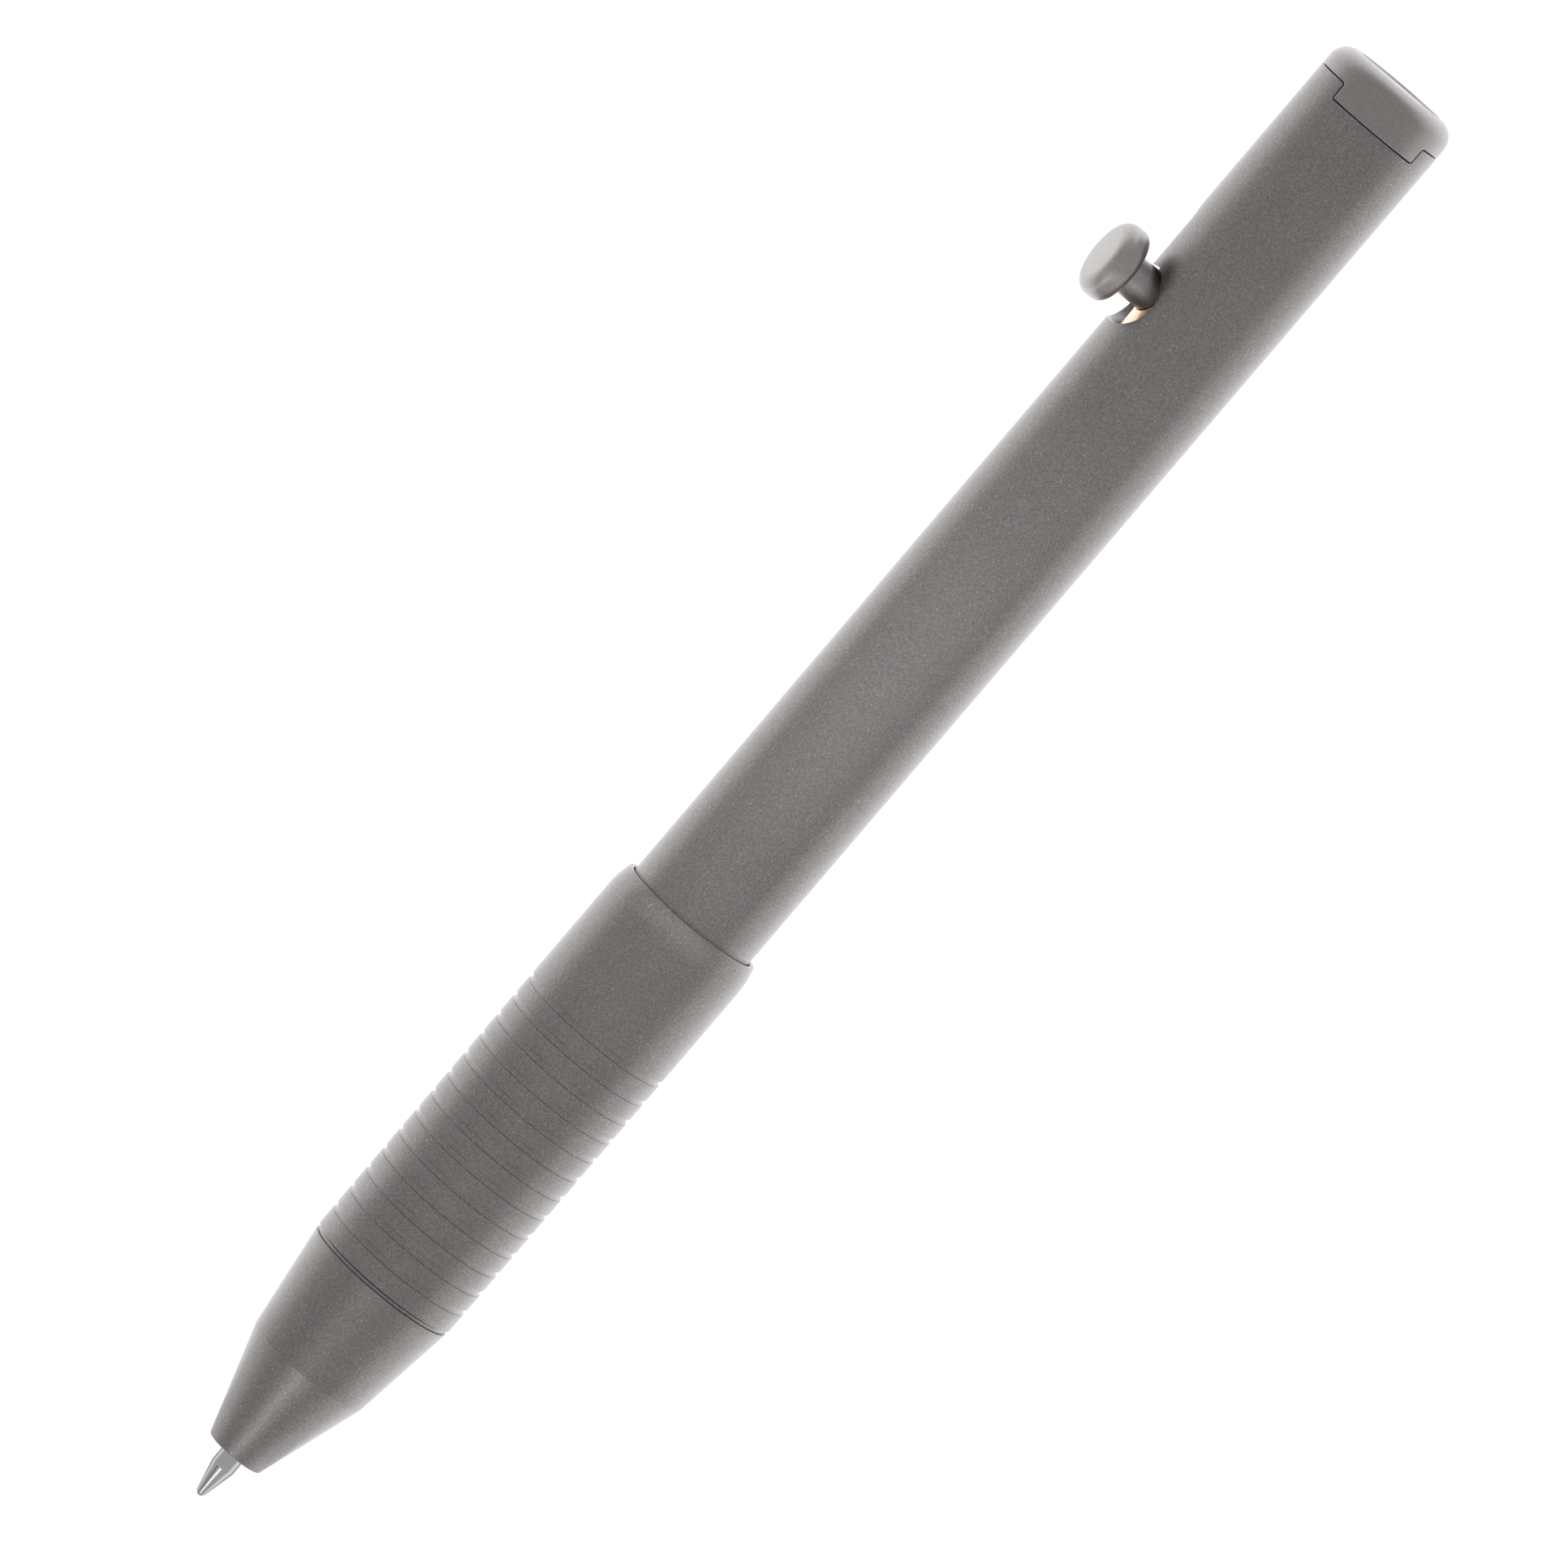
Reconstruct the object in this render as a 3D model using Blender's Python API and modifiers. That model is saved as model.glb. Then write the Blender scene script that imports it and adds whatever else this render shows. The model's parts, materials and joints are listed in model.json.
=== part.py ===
"""A bolt-action pen in bead-blasted titanium, locked with its writing tip out.

The pen's axis is world X. The floor of the cap's end face is at x = 0, the writing ball is at the
far +X end, and the long leg of the barrel's J-slot faces -Y. Angles about the pen are degrees
about +X, from +Y towards +Z.
"""

import math

import bmesh
import bpy
from mathutils import Matrix, Vector

MM = 0.001

# Clearances
fit_gap = 0.05 * MM          # radial gap of a turned fit
seat_gap = 0.10 * MM         # gap between faces that meet end to end
seam_gap = 0.10 * MM         # the visible line between the cap and the barrel
refill_play = 0.30 * MM      # round the refill where the nose guides it
loose_gap = 0.10 * MM        # radial gap of an easy fit: sleeve on barrel, refill in slider
neck_shortfall = 0.30 * MM   # from the barrel's front end back to the sleeve's
ball_gap = 0.02 * MM         # round the writing ball in its socket

# Outside lengths, from the cap to the ball
cap_head_length = 2.40 * MM
barrel_shown_length = 81.38 * MM
grip_length = 36.85 * MM
nose_length = 17.96 * MM
tip_projection = 4.37 * MM

# Barrel
barrel_diameter = 11.40 * MM
barrel_wall = 1.15 * MM
neck_length = 12.0 * MM      # the thinner front end inside the grip sleeve
neck_step = 0.50 * MM
neck_chamfer = 0.25 * MM

# J-slot: a long leg, and a round pocket that the bolt locks in
leg_length = 11.60 * MM
leg_play = 0.30 * MM         # each side of the stem in the long leg
pocket_play = 1.125 * MM     # round the stem in the pocket
lock_gap = 0.15 * MM         # between the locked stem and the pocket's rear wall
pocket_turn = 31.8           # degrees from the leg to the pocket
lock_turn = 5.2              # degrees from the pocket's middle to the locked stem
slot_front = 27.70 * MM      # from the cap's end face
bridge_inset = 0.01 * MM     # keeps the bridge's front wall off the round cuts' tangents

# End cap
cap_edge_radius = 1.65 * MM
cap_dish_depth = 0.15 * MM
cap_rim_land = 0.08 * MM
cap_spigot_length = 6.40 * MM
cap_spigot_chamfer = 0.30 * MM
tab_depth = 1.45 * MM
tab_width = 86.0             # degrees
tab_turn = 74.0              # degrees about the pen, for the middle of the first tab
tab_count = 2

# Grip sleeve
grip_wall = 0.75 * MM
grip_groove_count = 13
grip_groove_pitch = 1.95 * MM
grip_groove_width = 0.62 * MM
grip_groove_floor = 0.30 * MM
grip_groove_depth = 0.15 * MM
grip_tail_length = 2.35 * MM
grip_tail_drop = 0.35 * MM
grip_mouth_chamfer = 0.15 * MM
joint_chamfer = 0.15 * MM    # on both sides of the joint between sleeve and nose

# Nose cone
nose_front_diameter = 4.95 * MM
nose_kink_diameter = 10.60 * MM
nose_kink_from_front = 8.92 * MM
nose_base_step = 0.06 * MM
nose_edge = 0.10 * MM
nose_spigot_length = 9.50 * MM
nose_spigot_chamfer = 0.30 * MM
nose_mouth_gap = 0.20 * MM   # around the refill's tip
spring_bore_length = 6.00 * MM
push_travel = 1.60 * MM      # of the bolt in the pocket, against the spring
push_stop_gap = 0.45 * MM    # left between holder and nose at the end of it

# O-rings
ring_floor = 0.40 * MM       # metal left between the nose's ring groove and its bore
ring_groove_width = 1.00 * MM
ring_from_shoulder = 1.40 * MM

# Refill
refill_diameter = 6.00 * MM
refill_wall = 0.70 * MM
ball_diameter = 0.70 * MM
ball_shown = 0.24 * MM
lip_wall = 0.03 * MM         # of the point's metal, rolled over the ball
lip_root_wall = 0.06 * MM
lip_length = 0.12 * MM
point_diameter = 2.00 * MM
point_cone_length = 2.90 * MM
point_length = 10.00 * MM
point_tail_length = 3.00 * MM
point_tail_diameter = 1.60 * MM
ink_channel_diameter = 0.50 * MM
holder_neck_length = 10.30 * MM
collar_length = 1.60 * MM
holder_plug_length = 5.00 * MM
holder_channel_diameter = 1.20 * MM
follower_length = 3.90 * MM
air_length = 3.60 * MM       # empty tube behind the follower
plug_head_length = 1.40 * MM
plug_spigot_length = 5.00 * MM
plug_vent_diameter = 1.00 * MM
refill_chamfer = 0.25 * MM

# Return spring
spring_diameter = 4.60 * MM
spring_wire = 0.42 * MM
spring_play = 0.18 * MM      # between the spring and the holder's neck inside it
spring_turns = 9

# Bolt: the copper slider and its titanium knob
slider_ahead = 10.00 * MM    # of the stem's axis
slider_behind = 8.90 * MM
slider_socket_depth = 2.50 * MM
slider_chamfer = 0.30 * MM
stem_diameter = 3.35 * MM
stem_screw_diameter = 2.40 * MM
stem_screw_length = 3.00 * MM
stem_screw_chamfer = 0.30 * MM
knob_diameter = 6.55 * MM
knob_stand_off = 1.52 * MM   # from the barrel's outside to the knob's back
knob_thickness = 2.35 * MM
knob_edge_radius = 0.75 * MM # from the flat face to the side
knob_back_radius = 0.95 * MM # from the side to the back
knob_root_radius = 0.30 * MM
spotface_depth = 0.35 * MM   # flat in the slider under the stem's shoulder

# Facets round a turn
BODY_STEPS = 48
GRIP_STEPS = 40
INNER_STEPS = 24
KNOB_STEPS = 32
RING_STEPS = 32
RING_SECTION_STEPS = 8
COIL_STEPS = 8
SECTOR_STEP = 6.0            # degrees a facet, in the cuts round the pen

# Sizes that follow
barrel_radius = barrel_diameter / 2
bore_radius = barrel_radius - barrel_wall
neck_radius = barrel_radius - neck_step
pilot_radius = bore_radius - fit_gap
spigot_radius = pilot_radius - fit_gap
ring_groove_radius = refill_diameter / 2 + refill_play + ring_floor
ring_section = pilot_radius - fit_gap - ring_groove_radius
grip_bore_radius = barrel_radius + loose_gap
grip_radius = grip_bore_radius + grip_wall
grip_lip_radius = neck_radius + fit_gap
refill_radius = refill_diameter / 2
refill_bore_radius = refill_radius - refill_wall
refill_inner_radius = refill_bore_radius - fit_gap
slider_radius = pilot_radius
holder_radius = spring_diameter / 2 - spring_wire - spring_play
stem_radius = stem_diameter / 2
leg_radius = stem_radius + leg_play
pocket_radius = stem_radius + pocket_play
knob_height = barrel_radius + knob_stand_off + knob_thickness
leg_angle = 180.0
pocket_angle = leg_angle - pocket_turn
locked_angle = pocket_angle + lock_turn
lock_offset = barrel_radius * math.sin(math.radians(lock_turn))
bolt_x = slot_front - pocket_radius - math.sqrt((pocket_play - lock_gap) ** 2 - lock_offset ** 2)

# Stations along X
cap_end = -cap_dish_depth
seam = cap_end + cap_head_length
tab_front = seam + tab_depth
cap_spigot_front = seam + cap_spigot_length
grip_rear = seam + barrel_shown_length
grip_front = grip_rear + grip_length
nose_base = grip_front + seat_gap
nose_front = nose_base + nose_length
ball_front = nose_front + tip_projection
barrel_front = grip_front - neck_shortfall
neck_rear = barrel_front - neck_length
point_rear = ball_front - point_length
holder_front = point_rear - seat_gap
nose_shoulder = holder_front + push_travel + push_stop_gap
spring_bore_rear = nose_shoulder - spring_bore_length
collar_front = holder_front - holder_neck_length
collar_rear = collar_front - collar_length
holder_rear = collar_rear - holder_plug_length
slider_front = bolt_x + slider_ahead
slider_rear = bolt_x - slider_behind
socket_floor = slider_front - slider_socket_depth
refill_end = socket_floor + seat_gap
plug_shoulder = refill_end + plug_head_length
plug_front = plug_shoulder + plug_spigot_length
tube_front = collar_rear - seat_gap
tube_rear = plug_shoulder + seat_gap
follower_rear = plug_front + air_length
follower_front = follower_rear + follower_length
ink_rear = follower_front + seat_gap
ink_front = holder_rear - seat_gap


def clear_scene():
    """Start from an empty file."""
    for thing in list(bpy.data.objects):
        bpy.data.objects.remove(thing, do_unlink=True)


def collection(name):
    """A new collection in the scene."""
    made = bpy.data.collections.new(name)
    bpy.context.scene.collection.children.link(made)
    return made


def material(name, colour, roughness, metallic):
    """A plain Principled material."""
    made = bpy.data.materials.new(name)
    made.use_nodes = True
    shader = made.node_tree.nodes["Principled BSDF"]
    shader.inputs["Base Color"].default_value = (*colour, 1.0)
    shader.inputs["Roughness"].default_value = roughness
    shader.inputs["Metallic"].default_value = metallic
    return made


def arc(centre, radius, start, end, segments):
    """Points of an arc in a profile's plane, from one angle to another in degrees."""
    points = []
    for step in range(segments + 1):
        angle = math.radians(start + (end - start) * step / segments)
        points.append((centre[0] + radius * math.cos(angle), centre[1] + radius * math.sin(angle)))
    return points


def place(piece, group, parent=None):
    """Link a piece to its collection and its empty."""
    group.objects.link(piece)
    if parent is not None:
        piece.parent = parent
        bpy.context.view_layer.update()
        piece.matrix_parent_inverse = parent.matrix_world.inverted()
    return piece


def add_screw(piece, axis, steps):
    """Turn a profile about one of its object's axes."""
    turn = piece.modifiers.new("turn", "SCREW")
    turn.axis = axis
    turn.steps = steps
    turn.render_steps = steps
    turn.use_merge_vertices = True
    turn.merge_threshold = 1e-6
    turn.use_smooth_shade = True


def turned(name, profile, steps, datum=0.0, closed=True):
    """A piece turned about the pen's axis.

    The profile holds (x, radius) points. It runs back along the outside, from the writing end
    to the cap end, and returns through the bore, or starts and ends on the axis.
    """
    mesh = bpy.data.meshes.new(name)
    shape = bmesh.new()
    verts = [shape.verts.new((x - datum, radius, 0.0)) for x, radius in profile]
    pairs = list(zip(verts, verts[1:]))
    if closed:
        pairs.append((verts[-1], verts[0]))
    for pair in pairs:
        shape.edges.new(pair)
    shape.to_mesh(mesh)
    shape.free()
    piece = bpy.data.objects.new(name, mesh)
    piece.location.x = datum
    add_screw(piece, "X", steps)
    return piece


def radial_frame(x, angle):
    """Matrix whose local Z points straight out of the pen at an angle, with local X along it."""
    turn = math.radians(angle)
    outward = Vector((0.0, math.cos(turn), math.sin(turn)))
    along = Vector((1.0, 0.0, 0.0))
    frame = Matrix((along, outward.cross(along), outward)).transposed().to_4x4()
    frame.translation = (x, 0.0, 0.0)
    return frame


def radial_cutter(name, group, x, angle, radius, low, high, stretch=0.0, steps=BODY_STEPS):
    """A round cutter that points out of the pen, stretched along it towards the cap if asked."""
    mesh = bpy.data.meshes.new(name)
    shape = bmesh.new()
    bmesh.ops.create_cone(shape, cap_ends=True, segments=steps, radius1=radius,
                          radius2=radius, depth=high - low)
    for vert in shape.verts:
        vert.co.z += (high + low) / 2
        if vert.co.x < 0.0:
            vert.co.x -= stretch
    shape.to_mesh(mesh)
    shape.free()
    cutter = bpy.data.objects.new(name, mesh)
    cutter.matrix_world = radial_frame(x, angle)
    return hide_cutter(cutter, group)


def block_cutter(name, group, x_range, angle, width, low, high):
    """A square-sided cutter that points out of the pen."""
    mesh = bpy.data.meshes.new(name)
    shape = bmesh.new()
    length = x_range[1] - x_range[0]
    bmesh.ops.create_cube(shape, size=1.0)
    bmesh.ops.scale(shape, vec=(length, width, high - low), verts=shape.verts)
    bmesh.ops.translate(shape, vec=(0.0, 0.0, (high + low) / 2), verts=shape.verts)
    shape.to_mesh(mesh)
    shape.free()
    cutter = bpy.data.objects.new(name, mesh)
    cutter.matrix_world = radial_frame(sum(x_range) / 2, angle)
    return hide_cutter(cutter, group)


def sector_cutter(name, group, x_range, middle, width, low, high):
    """A block of a ring round the pen: an arch outline, extruded along X."""
    steps = math.ceil(width / SECTOR_STEP)
    first = middle - width / 2
    last = middle + width / 2
    outline = arc((0.0, 0.0), high, first, last, steps) + arc((0.0, 0.0), low, last, first, steps)
    mesh = bpy.data.meshes.new(name)
    shape = bmesh.new()
    verts = [shape.verts.new((x_range[0], y, z)) for y, z in outline]
    face = shape.faces.new(verts)
    grown = bmesh.ops.extrude_face_region(shape, geom=[face])
    moved = [item for item in grown["geom"] if isinstance(item, bmesh.types.BMVert)]
    bmesh.ops.translate(shape, vec=(x_range[1] - x_range[0], 0.0, 0.0), verts=moved)
    bmesh.ops.recalc_face_normals(shape, faces=shape.faces)
    shape.to_mesh(mesh)
    shape.free()
    return hide_cutter(bpy.data.objects.new(name, mesh), group)


def hide_cutter(cutter, group):
    """Keep a cutter out of renders and show it as wire."""
    cutter.hide_render = True
    cutter.display_type = "WIRE"
    group.objects.link(cutter)
    return cutter


def cut(piece, *cutters):
    """Take cutters away from a piece."""
    for cutter in cutters:
        step = piece.modifiers.new(cutter.name, "BOOLEAN")
        step.operation = "DIFFERENCE"
        step.object = cutter


def settle(piece, sharp=30.0):
    """Keep the finished mesh of a piece, shaded smooth between its sharp edges."""
    bpy.context.view_layer.update()
    evaluated = piece.evaluated_get(bpy.context.evaluated_depsgraph_get())
    finished = bpy.data.meshes.new_from_object(evaluated)
    piece.modifiers.clear()
    piece.data = finished
    finished.shade_smooth()
    finished.set_sharp_from_angle(angle=math.radians(sharp))
    return piece


def empty(name, group, x, parent=None):
    """An empty on the pen's axis."""
    made = bpy.data.objects.new(name, None)
    made.empty_display_size = 0.004
    made.location.x = x
    return place(made, group, parent)


def tab_angles():
    """The middle of each of the cap's tabs."""
    return [tab_turn + 360.0 * index / tab_count for index in range(tab_count)]


def make_barrel(group, cutters):
    """The tube, with its J-slot, the notches for the cap's tabs and a thinner neck."""
    rear = seam + seam_gap
    profile = [
        (barrel_front, neck_radius - neck_chamfer),
        (barrel_front - neck_chamfer, neck_radius),
        (neck_rear, neck_radius),
        (neck_rear, barrel_radius),
        (rear, barrel_radius),
        (rear, bore_radius),
        (barrel_front, bore_radius),
    ]
    barrel = turned("barrel", profile, BODY_STEPS, datum=rear)
    inside = bore_radius - barrel_wall
    outside = barrel_radius + barrel_wall
    leg = radial_cutter("slot_leg", cutters, slot_front - leg_radius, leg_angle, leg_radius,
                        inside, outside, stretch=leg_length - 2 * leg_radius)
    pocket = radial_cutter("slot_pocket", cutters, slot_front - pocket_radius, pocket_angle,
                           pocket_radius, inside, outside)
    half_turn = math.radians(pocket_turn) / 2
    bridge_rear = slot_front - leg_radius
    bridge = block_cutter("slot_bridge", cutters, (bridge_rear, slot_front - bridge_inset),
                          (leg_angle + pocket_angle) / 2,
                          2 * barrel_radius * math.sin(half_turn), inside, outside)
    cut(barrel, leg, pocket, bridge)
    for index, middle in enumerate(tab_angles()):
        side_gap = math.degrees(2 * seam_gap / barrel_radius)
        notch = sector_cutter(f"tab_notch_{index + 1}", cutters,
                              (cap_end, tab_front + seam_gap), middle, tab_width + side_gap,
                              inside, outside)
        cut(barrel, notch)
    return settle(place(barrel, group))


def make_end_cap(group, cutters):
    """The cap: a rounded head with a shallow dish, two tabs and a spigot with a ring groove."""
    ring_front = seam + tab_depth + ring_from_shoulder + ring_groove_width
    ring_rear = ring_front - ring_groove_width
    dish_radius = barrel_radius - cap_edge_radius - cap_rim_land
    edge = arc((cap_end + cap_edge_radius, barrel_radius - cap_edge_radius), cap_edge_radius,
               90.0, 180.0, 7)
    profile = [
        (cap_spigot_front, 0.0),
        (cap_spigot_front, spigot_radius - cap_spigot_chamfer),
        (cap_spigot_front - cap_spigot_chamfer, spigot_radius),
        (ring_front, spigot_radius),
        (ring_front, ring_groove_radius),
        (ring_rear, ring_groove_radius),
        (ring_rear, spigot_radius),
        (tab_front, spigot_radius),
        (tab_front, barrel_radius),
        *edge,
        (cap_end, dish_radius),
        (0.0, dish_radius - cap_dish_depth),
        (0.0, 0.0),
    ]
    cap = turned("end_cap", profile, BODY_STEPS, closed=False)
    gap_width = 360.0 / tab_count - tab_width
    for index, middle in enumerate(tab_angles()):
        gap = sector_cutter(f"tab_gap_{index + 1}", cutters, (seam, tab_front + seam_gap),
                            middle + 180.0 / tab_count, gap_width, pilot_radius,
                            barrel_radius + barrel_wall)
        cut(cap, gap)
    return settle(place(cap, group))


def make_ring(name, group, middle):
    """A rubber O-ring round the pen's axis."""
    radius = pilot_radius - ring_section / 2
    bpy.ops.mesh.primitive_torus_add(major_segments=RING_STEPS,
                                     minor_segments=RING_SECTION_STEPS, major_radius=radius,
                                     minor_radius=ring_section / 2)
    ring = bpy.context.object
    ring.name = name
    ring.data.name = name
    for linked in list(ring.users_collection):
        linked.objects.unlink(ring)
    ring.rotation_euler = (0.0, math.radians(90.0), 0.0)
    ring.location.x = middle
    ring.data.shade_smooth()
    return place(ring, group)


def make_grip(group):
    """The sleeve over the barrel's front: turned grooves, a curved tail and an inner lip."""
    profile = [
        (grip_front, grip_radius - joint_chamfer),
        (grip_front - joint_chamfer, grip_radius),
    ]
    for index in range(grip_groove_count):
        middle = grip_front - grip_groove_pitch * (index + 1)
        profile += [
            (middle + grip_groove_width / 2, grip_radius),
            (middle + grip_groove_floor / 2, grip_radius - grip_groove_depth),
            (middle - grip_groove_floor / 2, grip_radius - grip_groove_depth),
            (middle - grip_groove_width / 2, grip_radius),
        ]
    tail_radius = (grip_tail_length ** 2 + grip_tail_drop ** 2) / (2 * grip_tail_drop)
    tail_sweep = math.degrees(math.asin(grip_tail_length / tail_radius))
    profile += arc((grip_rear + grip_tail_length, grip_radius - tail_radius), tail_radius,
                   90.0, 90.0 + tail_sweep, 4)
    profile += [
        (grip_rear, grip_bore_radius + grip_mouth_chamfer),
        (grip_rear + grip_mouth_chamfer, grip_bore_radius),
        (neck_rear + seat_gap, grip_bore_radius),
        (neck_rear + seat_gap, grip_lip_radius),
        (grip_front, grip_lip_radius),
    ]
    return settle(place(turned("grip_sleeve", profile, GRIP_STEPS, datum=grip_rear), group))


def make_nose(group):
    """The nose cone: two tapers, a spigot into the barrel, and steps for refill and spring."""
    front_radius = nose_front_diameter / 2
    kink = nose_front - nose_kink_from_front
    base_radius = grip_radius - nose_base_step
    mouth_radius = point_diameter / 2 + nose_mouth_gap
    spring_bore_radius = spring_diameter / 2 + spring_wire
    guide_radius = refill_radius + refill_play
    ring_front = nose_base - ring_from_shoulder
    ring_rear = ring_front - ring_groove_width
    spigot_rear = nose_base - nose_spigot_length
    profile = [
        (nose_front, mouth_radius + nose_edge),
        (nose_front, front_radius - nose_edge),
        (nose_front - nose_edge, front_radius),
        (kink, nose_kink_diameter / 2),
        (nose_base + joint_chamfer, base_radius),
        (nose_base, base_radius - joint_chamfer),
        (nose_base, spigot_radius),
        (ring_front, spigot_radius),
        (ring_front, ring_groove_radius),
        (ring_rear, ring_groove_radius),
        (ring_rear, spigot_radius),
        (spigot_rear + nose_spigot_chamfer, spigot_radius),
        (spigot_rear, spigot_radius - nose_spigot_chamfer),
        (spigot_rear, guide_radius),
        (spring_bore_rear, guide_radius),
        (spring_bore_rear, spring_bore_radius),
        (nose_shoulder, spring_bore_radius),
        (nose_shoulder, mouth_radius),
        (nose_front - nose_edge, mouth_radius),
    ]
    return settle(place(turned("nose_cone", profile, BODY_STEPS, datum=nose_base), group))


def make_spring(group):
    """The return spring: one coil of wire between the nose's shoulder and the refill's collar."""
    radius = (spring_diameter - spring_wire) / 2
    front = nose_shoulder - seat_gap
    rear = collar_front + seat_gap
    stub = spring_wire
    coil_length = front - rear - 2 * stub
    count = spring_turns * COIL_STEPS
    points = [(rear, radius, 0.0)]
    for index in range(count + 1):
        angle = 2 * math.pi * index / COIL_STEPS
        x = rear + stub + coil_length * index / count
        points.append((x, radius * math.cos(angle), radius * math.sin(angle)))
    points.append((front, radius * math.cos(angle), radius * math.sin(angle)))
    pitch = coil_length / spring_turns
    print(f"return spring: least gap between its coils {(pitch - spring_wire) / MM:.2f} mm")
    wire = bpy.data.curves.new("return_spring", "CURVE")
    wire.dimensions = "3D"
    wire.bevel_depth = spring_wire / 2
    wire.bevel_resolution = 1
    wire.use_fill_caps = True
    spline = wire.splines.new("POLY")
    spline.points.add(len(points) - 1)
    for point, place_at in zip(spline.points, points):
        point.co = (*place_at, 1.0)
    return place(bpy.data.objects.new("return_spring", wire), group)


def make_ball(group, parent):
    """The writing ball."""
    mesh = bpy.data.meshes.new("writing_ball")
    shape = bmesh.new()
    bmesh.ops.create_uvsphere(shape, u_segments=16, v_segments=10, radius=ball_diameter / 2)
    shape.to_mesh(mesh)
    shape.free()
    mesh.shade_smooth()
    ball = bpy.data.objects.new("writing_ball", mesh)
    ball.location.x = ball_front - ball_diameter / 2
    return place(ball, group, parent)


def make_point(group, parent):
    """The refill's metal point, with the ball's socket and the ink channel."""
    ball_middle = ball_front - ball_diameter / 2
    socket_radius = ball_diameter / 2 + ball_gap
    lip = ball_front - ball_shown
    lip_angle = math.degrees(math.acos((lip - ball_middle) / socket_radius))
    lip_radius = socket_radius * math.sin(math.radians(lip_angle))
    channel_radius = ink_channel_diameter / 2
    seat_angle = 180.0 - math.degrees(math.asin(channel_radius / socket_radius))
    cone_rear = ball_front - point_cone_length
    tail_rear = point_rear - point_tail_length
    profile = [
        (lip, lip_radius + lip_wall),
        (lip - lip_length, lip_radius + lip_root_wall),
        (cone_rear, point_diameter / 2),
        (point_rear, point_diameter / 2),
        (point_rear, point_tail_diameter / 2),
        (tail_rear, point_tail_diameter / 2),
        (tail_rear, channel_radius),
        *arc((ball_middle, 0.0), socket_radius, seat_angle, lip_angle, 5),
    ]
    return settle(place(turned("refill_point", profile, INNER_STEPS, datum=point_rear),
                        group, parent))


def make_holder(group, parent):
    """The moulded piece that carries the point, stops the spring and plugs the ink tube."""
    tail_rear = point_rear - point_tail_length - seat_gap
    bore = point_tail_diameter / 2 + fit_gap
    channel = holder_channel_diameter / 2
    profile = [
        (holder_front, holder_radius - refill_chamfer),
        (holder_front - refill_chamfer, holder_radius),
        (collar_front, holder_radius),
        (collar_front, refill_radius),
        (collar_rear, refill_radius),
        (collar_rear, refill_inner_radius),
        (holder_rear, refill_inner_radius),
        (holder_rear, channel),
        (tail_rear, channel),
        (tail_rear, bore),
        (holder_front, bore),
    ]
    return settle(place(turned("refill_holder", profile, INNER_STEPS, datum=holder_front),
                        group, parent))


def make_tube(group, parent):
    """The refill's plastic ink tube."""
    profile = [
        (tube_front, refill_radius),
        (tube_rear, refill_radius),
        (tube_rear, refill_bore_radius),
        (tube_front, refill_bore_radius),
    ]
    return settle(place(turned("refill_tube", profile, INNER_STEPS, datum=tube_rear),
                        group, parent))


def make_plug(name, front, rear, group, parent):
    """A plain column inside the ink tube: the ink, or the grease that follows it."""
    profile = [
        (front, 0.0),
        (front, refill_inner_radius),
        (rear, refill_inner_radius),
        (rear, 0.0),
    ]
    return settle(place(turned(name, profile, INNER_STEPS, datum=rear, closed=False),
                        group, parent))


def make_end_plug(group, parent):
    """The vented plug in the refill's rear end, which the bolt's slider pushes on."""
    vent = plug_vent_diameter / 2
    profile = [
        (plug_front, refill_inner_radius - refill_chamfer),
        (plug_front - refill_chamfer, refill_inner_radius),
        (plug_shoulder, refill_inner_radius),
        (plug_shoulder, refill_radius),
        (refill_end + refill_chamfer, refill_radius),
        (refill_end, refill_radius - refill_chamfer),
        (refill_end, vent),
        (plug_front, vent),
    ]
    return settle(place(turned("refill_end_plug", profile, INNER_STEPS, datum=plug_shoulder),
                        group, parent))


def make_slider(group, cutters, parent):
    """The copper slider: a socket for the refill's end, and a tapped hole for the stem."""
    socket_radius = refill_radius + loose_gap
    profile = [
        (slider_front, socket_radius + slider_chamfer),
        (slider_front, slider_radius - slider_chamfer),
        (slider_front - slider_chamfer, slider_radius),
        (slider_rear + slider_chamfer, slider_radius),
        (slider_rear, slider_radius - slider_chamfer),
        (slider_rear, 0.0),
        (socket_floor, 0.0),
        (socket_floor, socket_radius),
        (slider_front - slider_chamfer, socket_radius),
    ]
    slider = turned("bolt_slider", profile, BODY_STEPS, datum=bolt_x)
    hole_bottom = spotface_level() - stem_screw_length - seat_gap
    tapped = radial_cutter("stem_hole", cutters, bolt_x, locked_angle,
                           stem_screw_diameter / 2 + fit_gap, hole_bottom, barrel_radius,
                           steps=INNER_STEPS)
    spot = radial_cutter("stem_spotface", cutters, bolt_x, locked_angle,
                         stem_radius + loose_gap, spotface_level(), barrel_radius,
                         steps=KNOB_STEPS)
    cut(slider, tapped, spot)
    return settle(place(slider, group, parent))


def spotface_level():
    """Height of the flat under the stem's shoulder, above the pen's axis."""
    return slider_radius - spotface_depth


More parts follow.
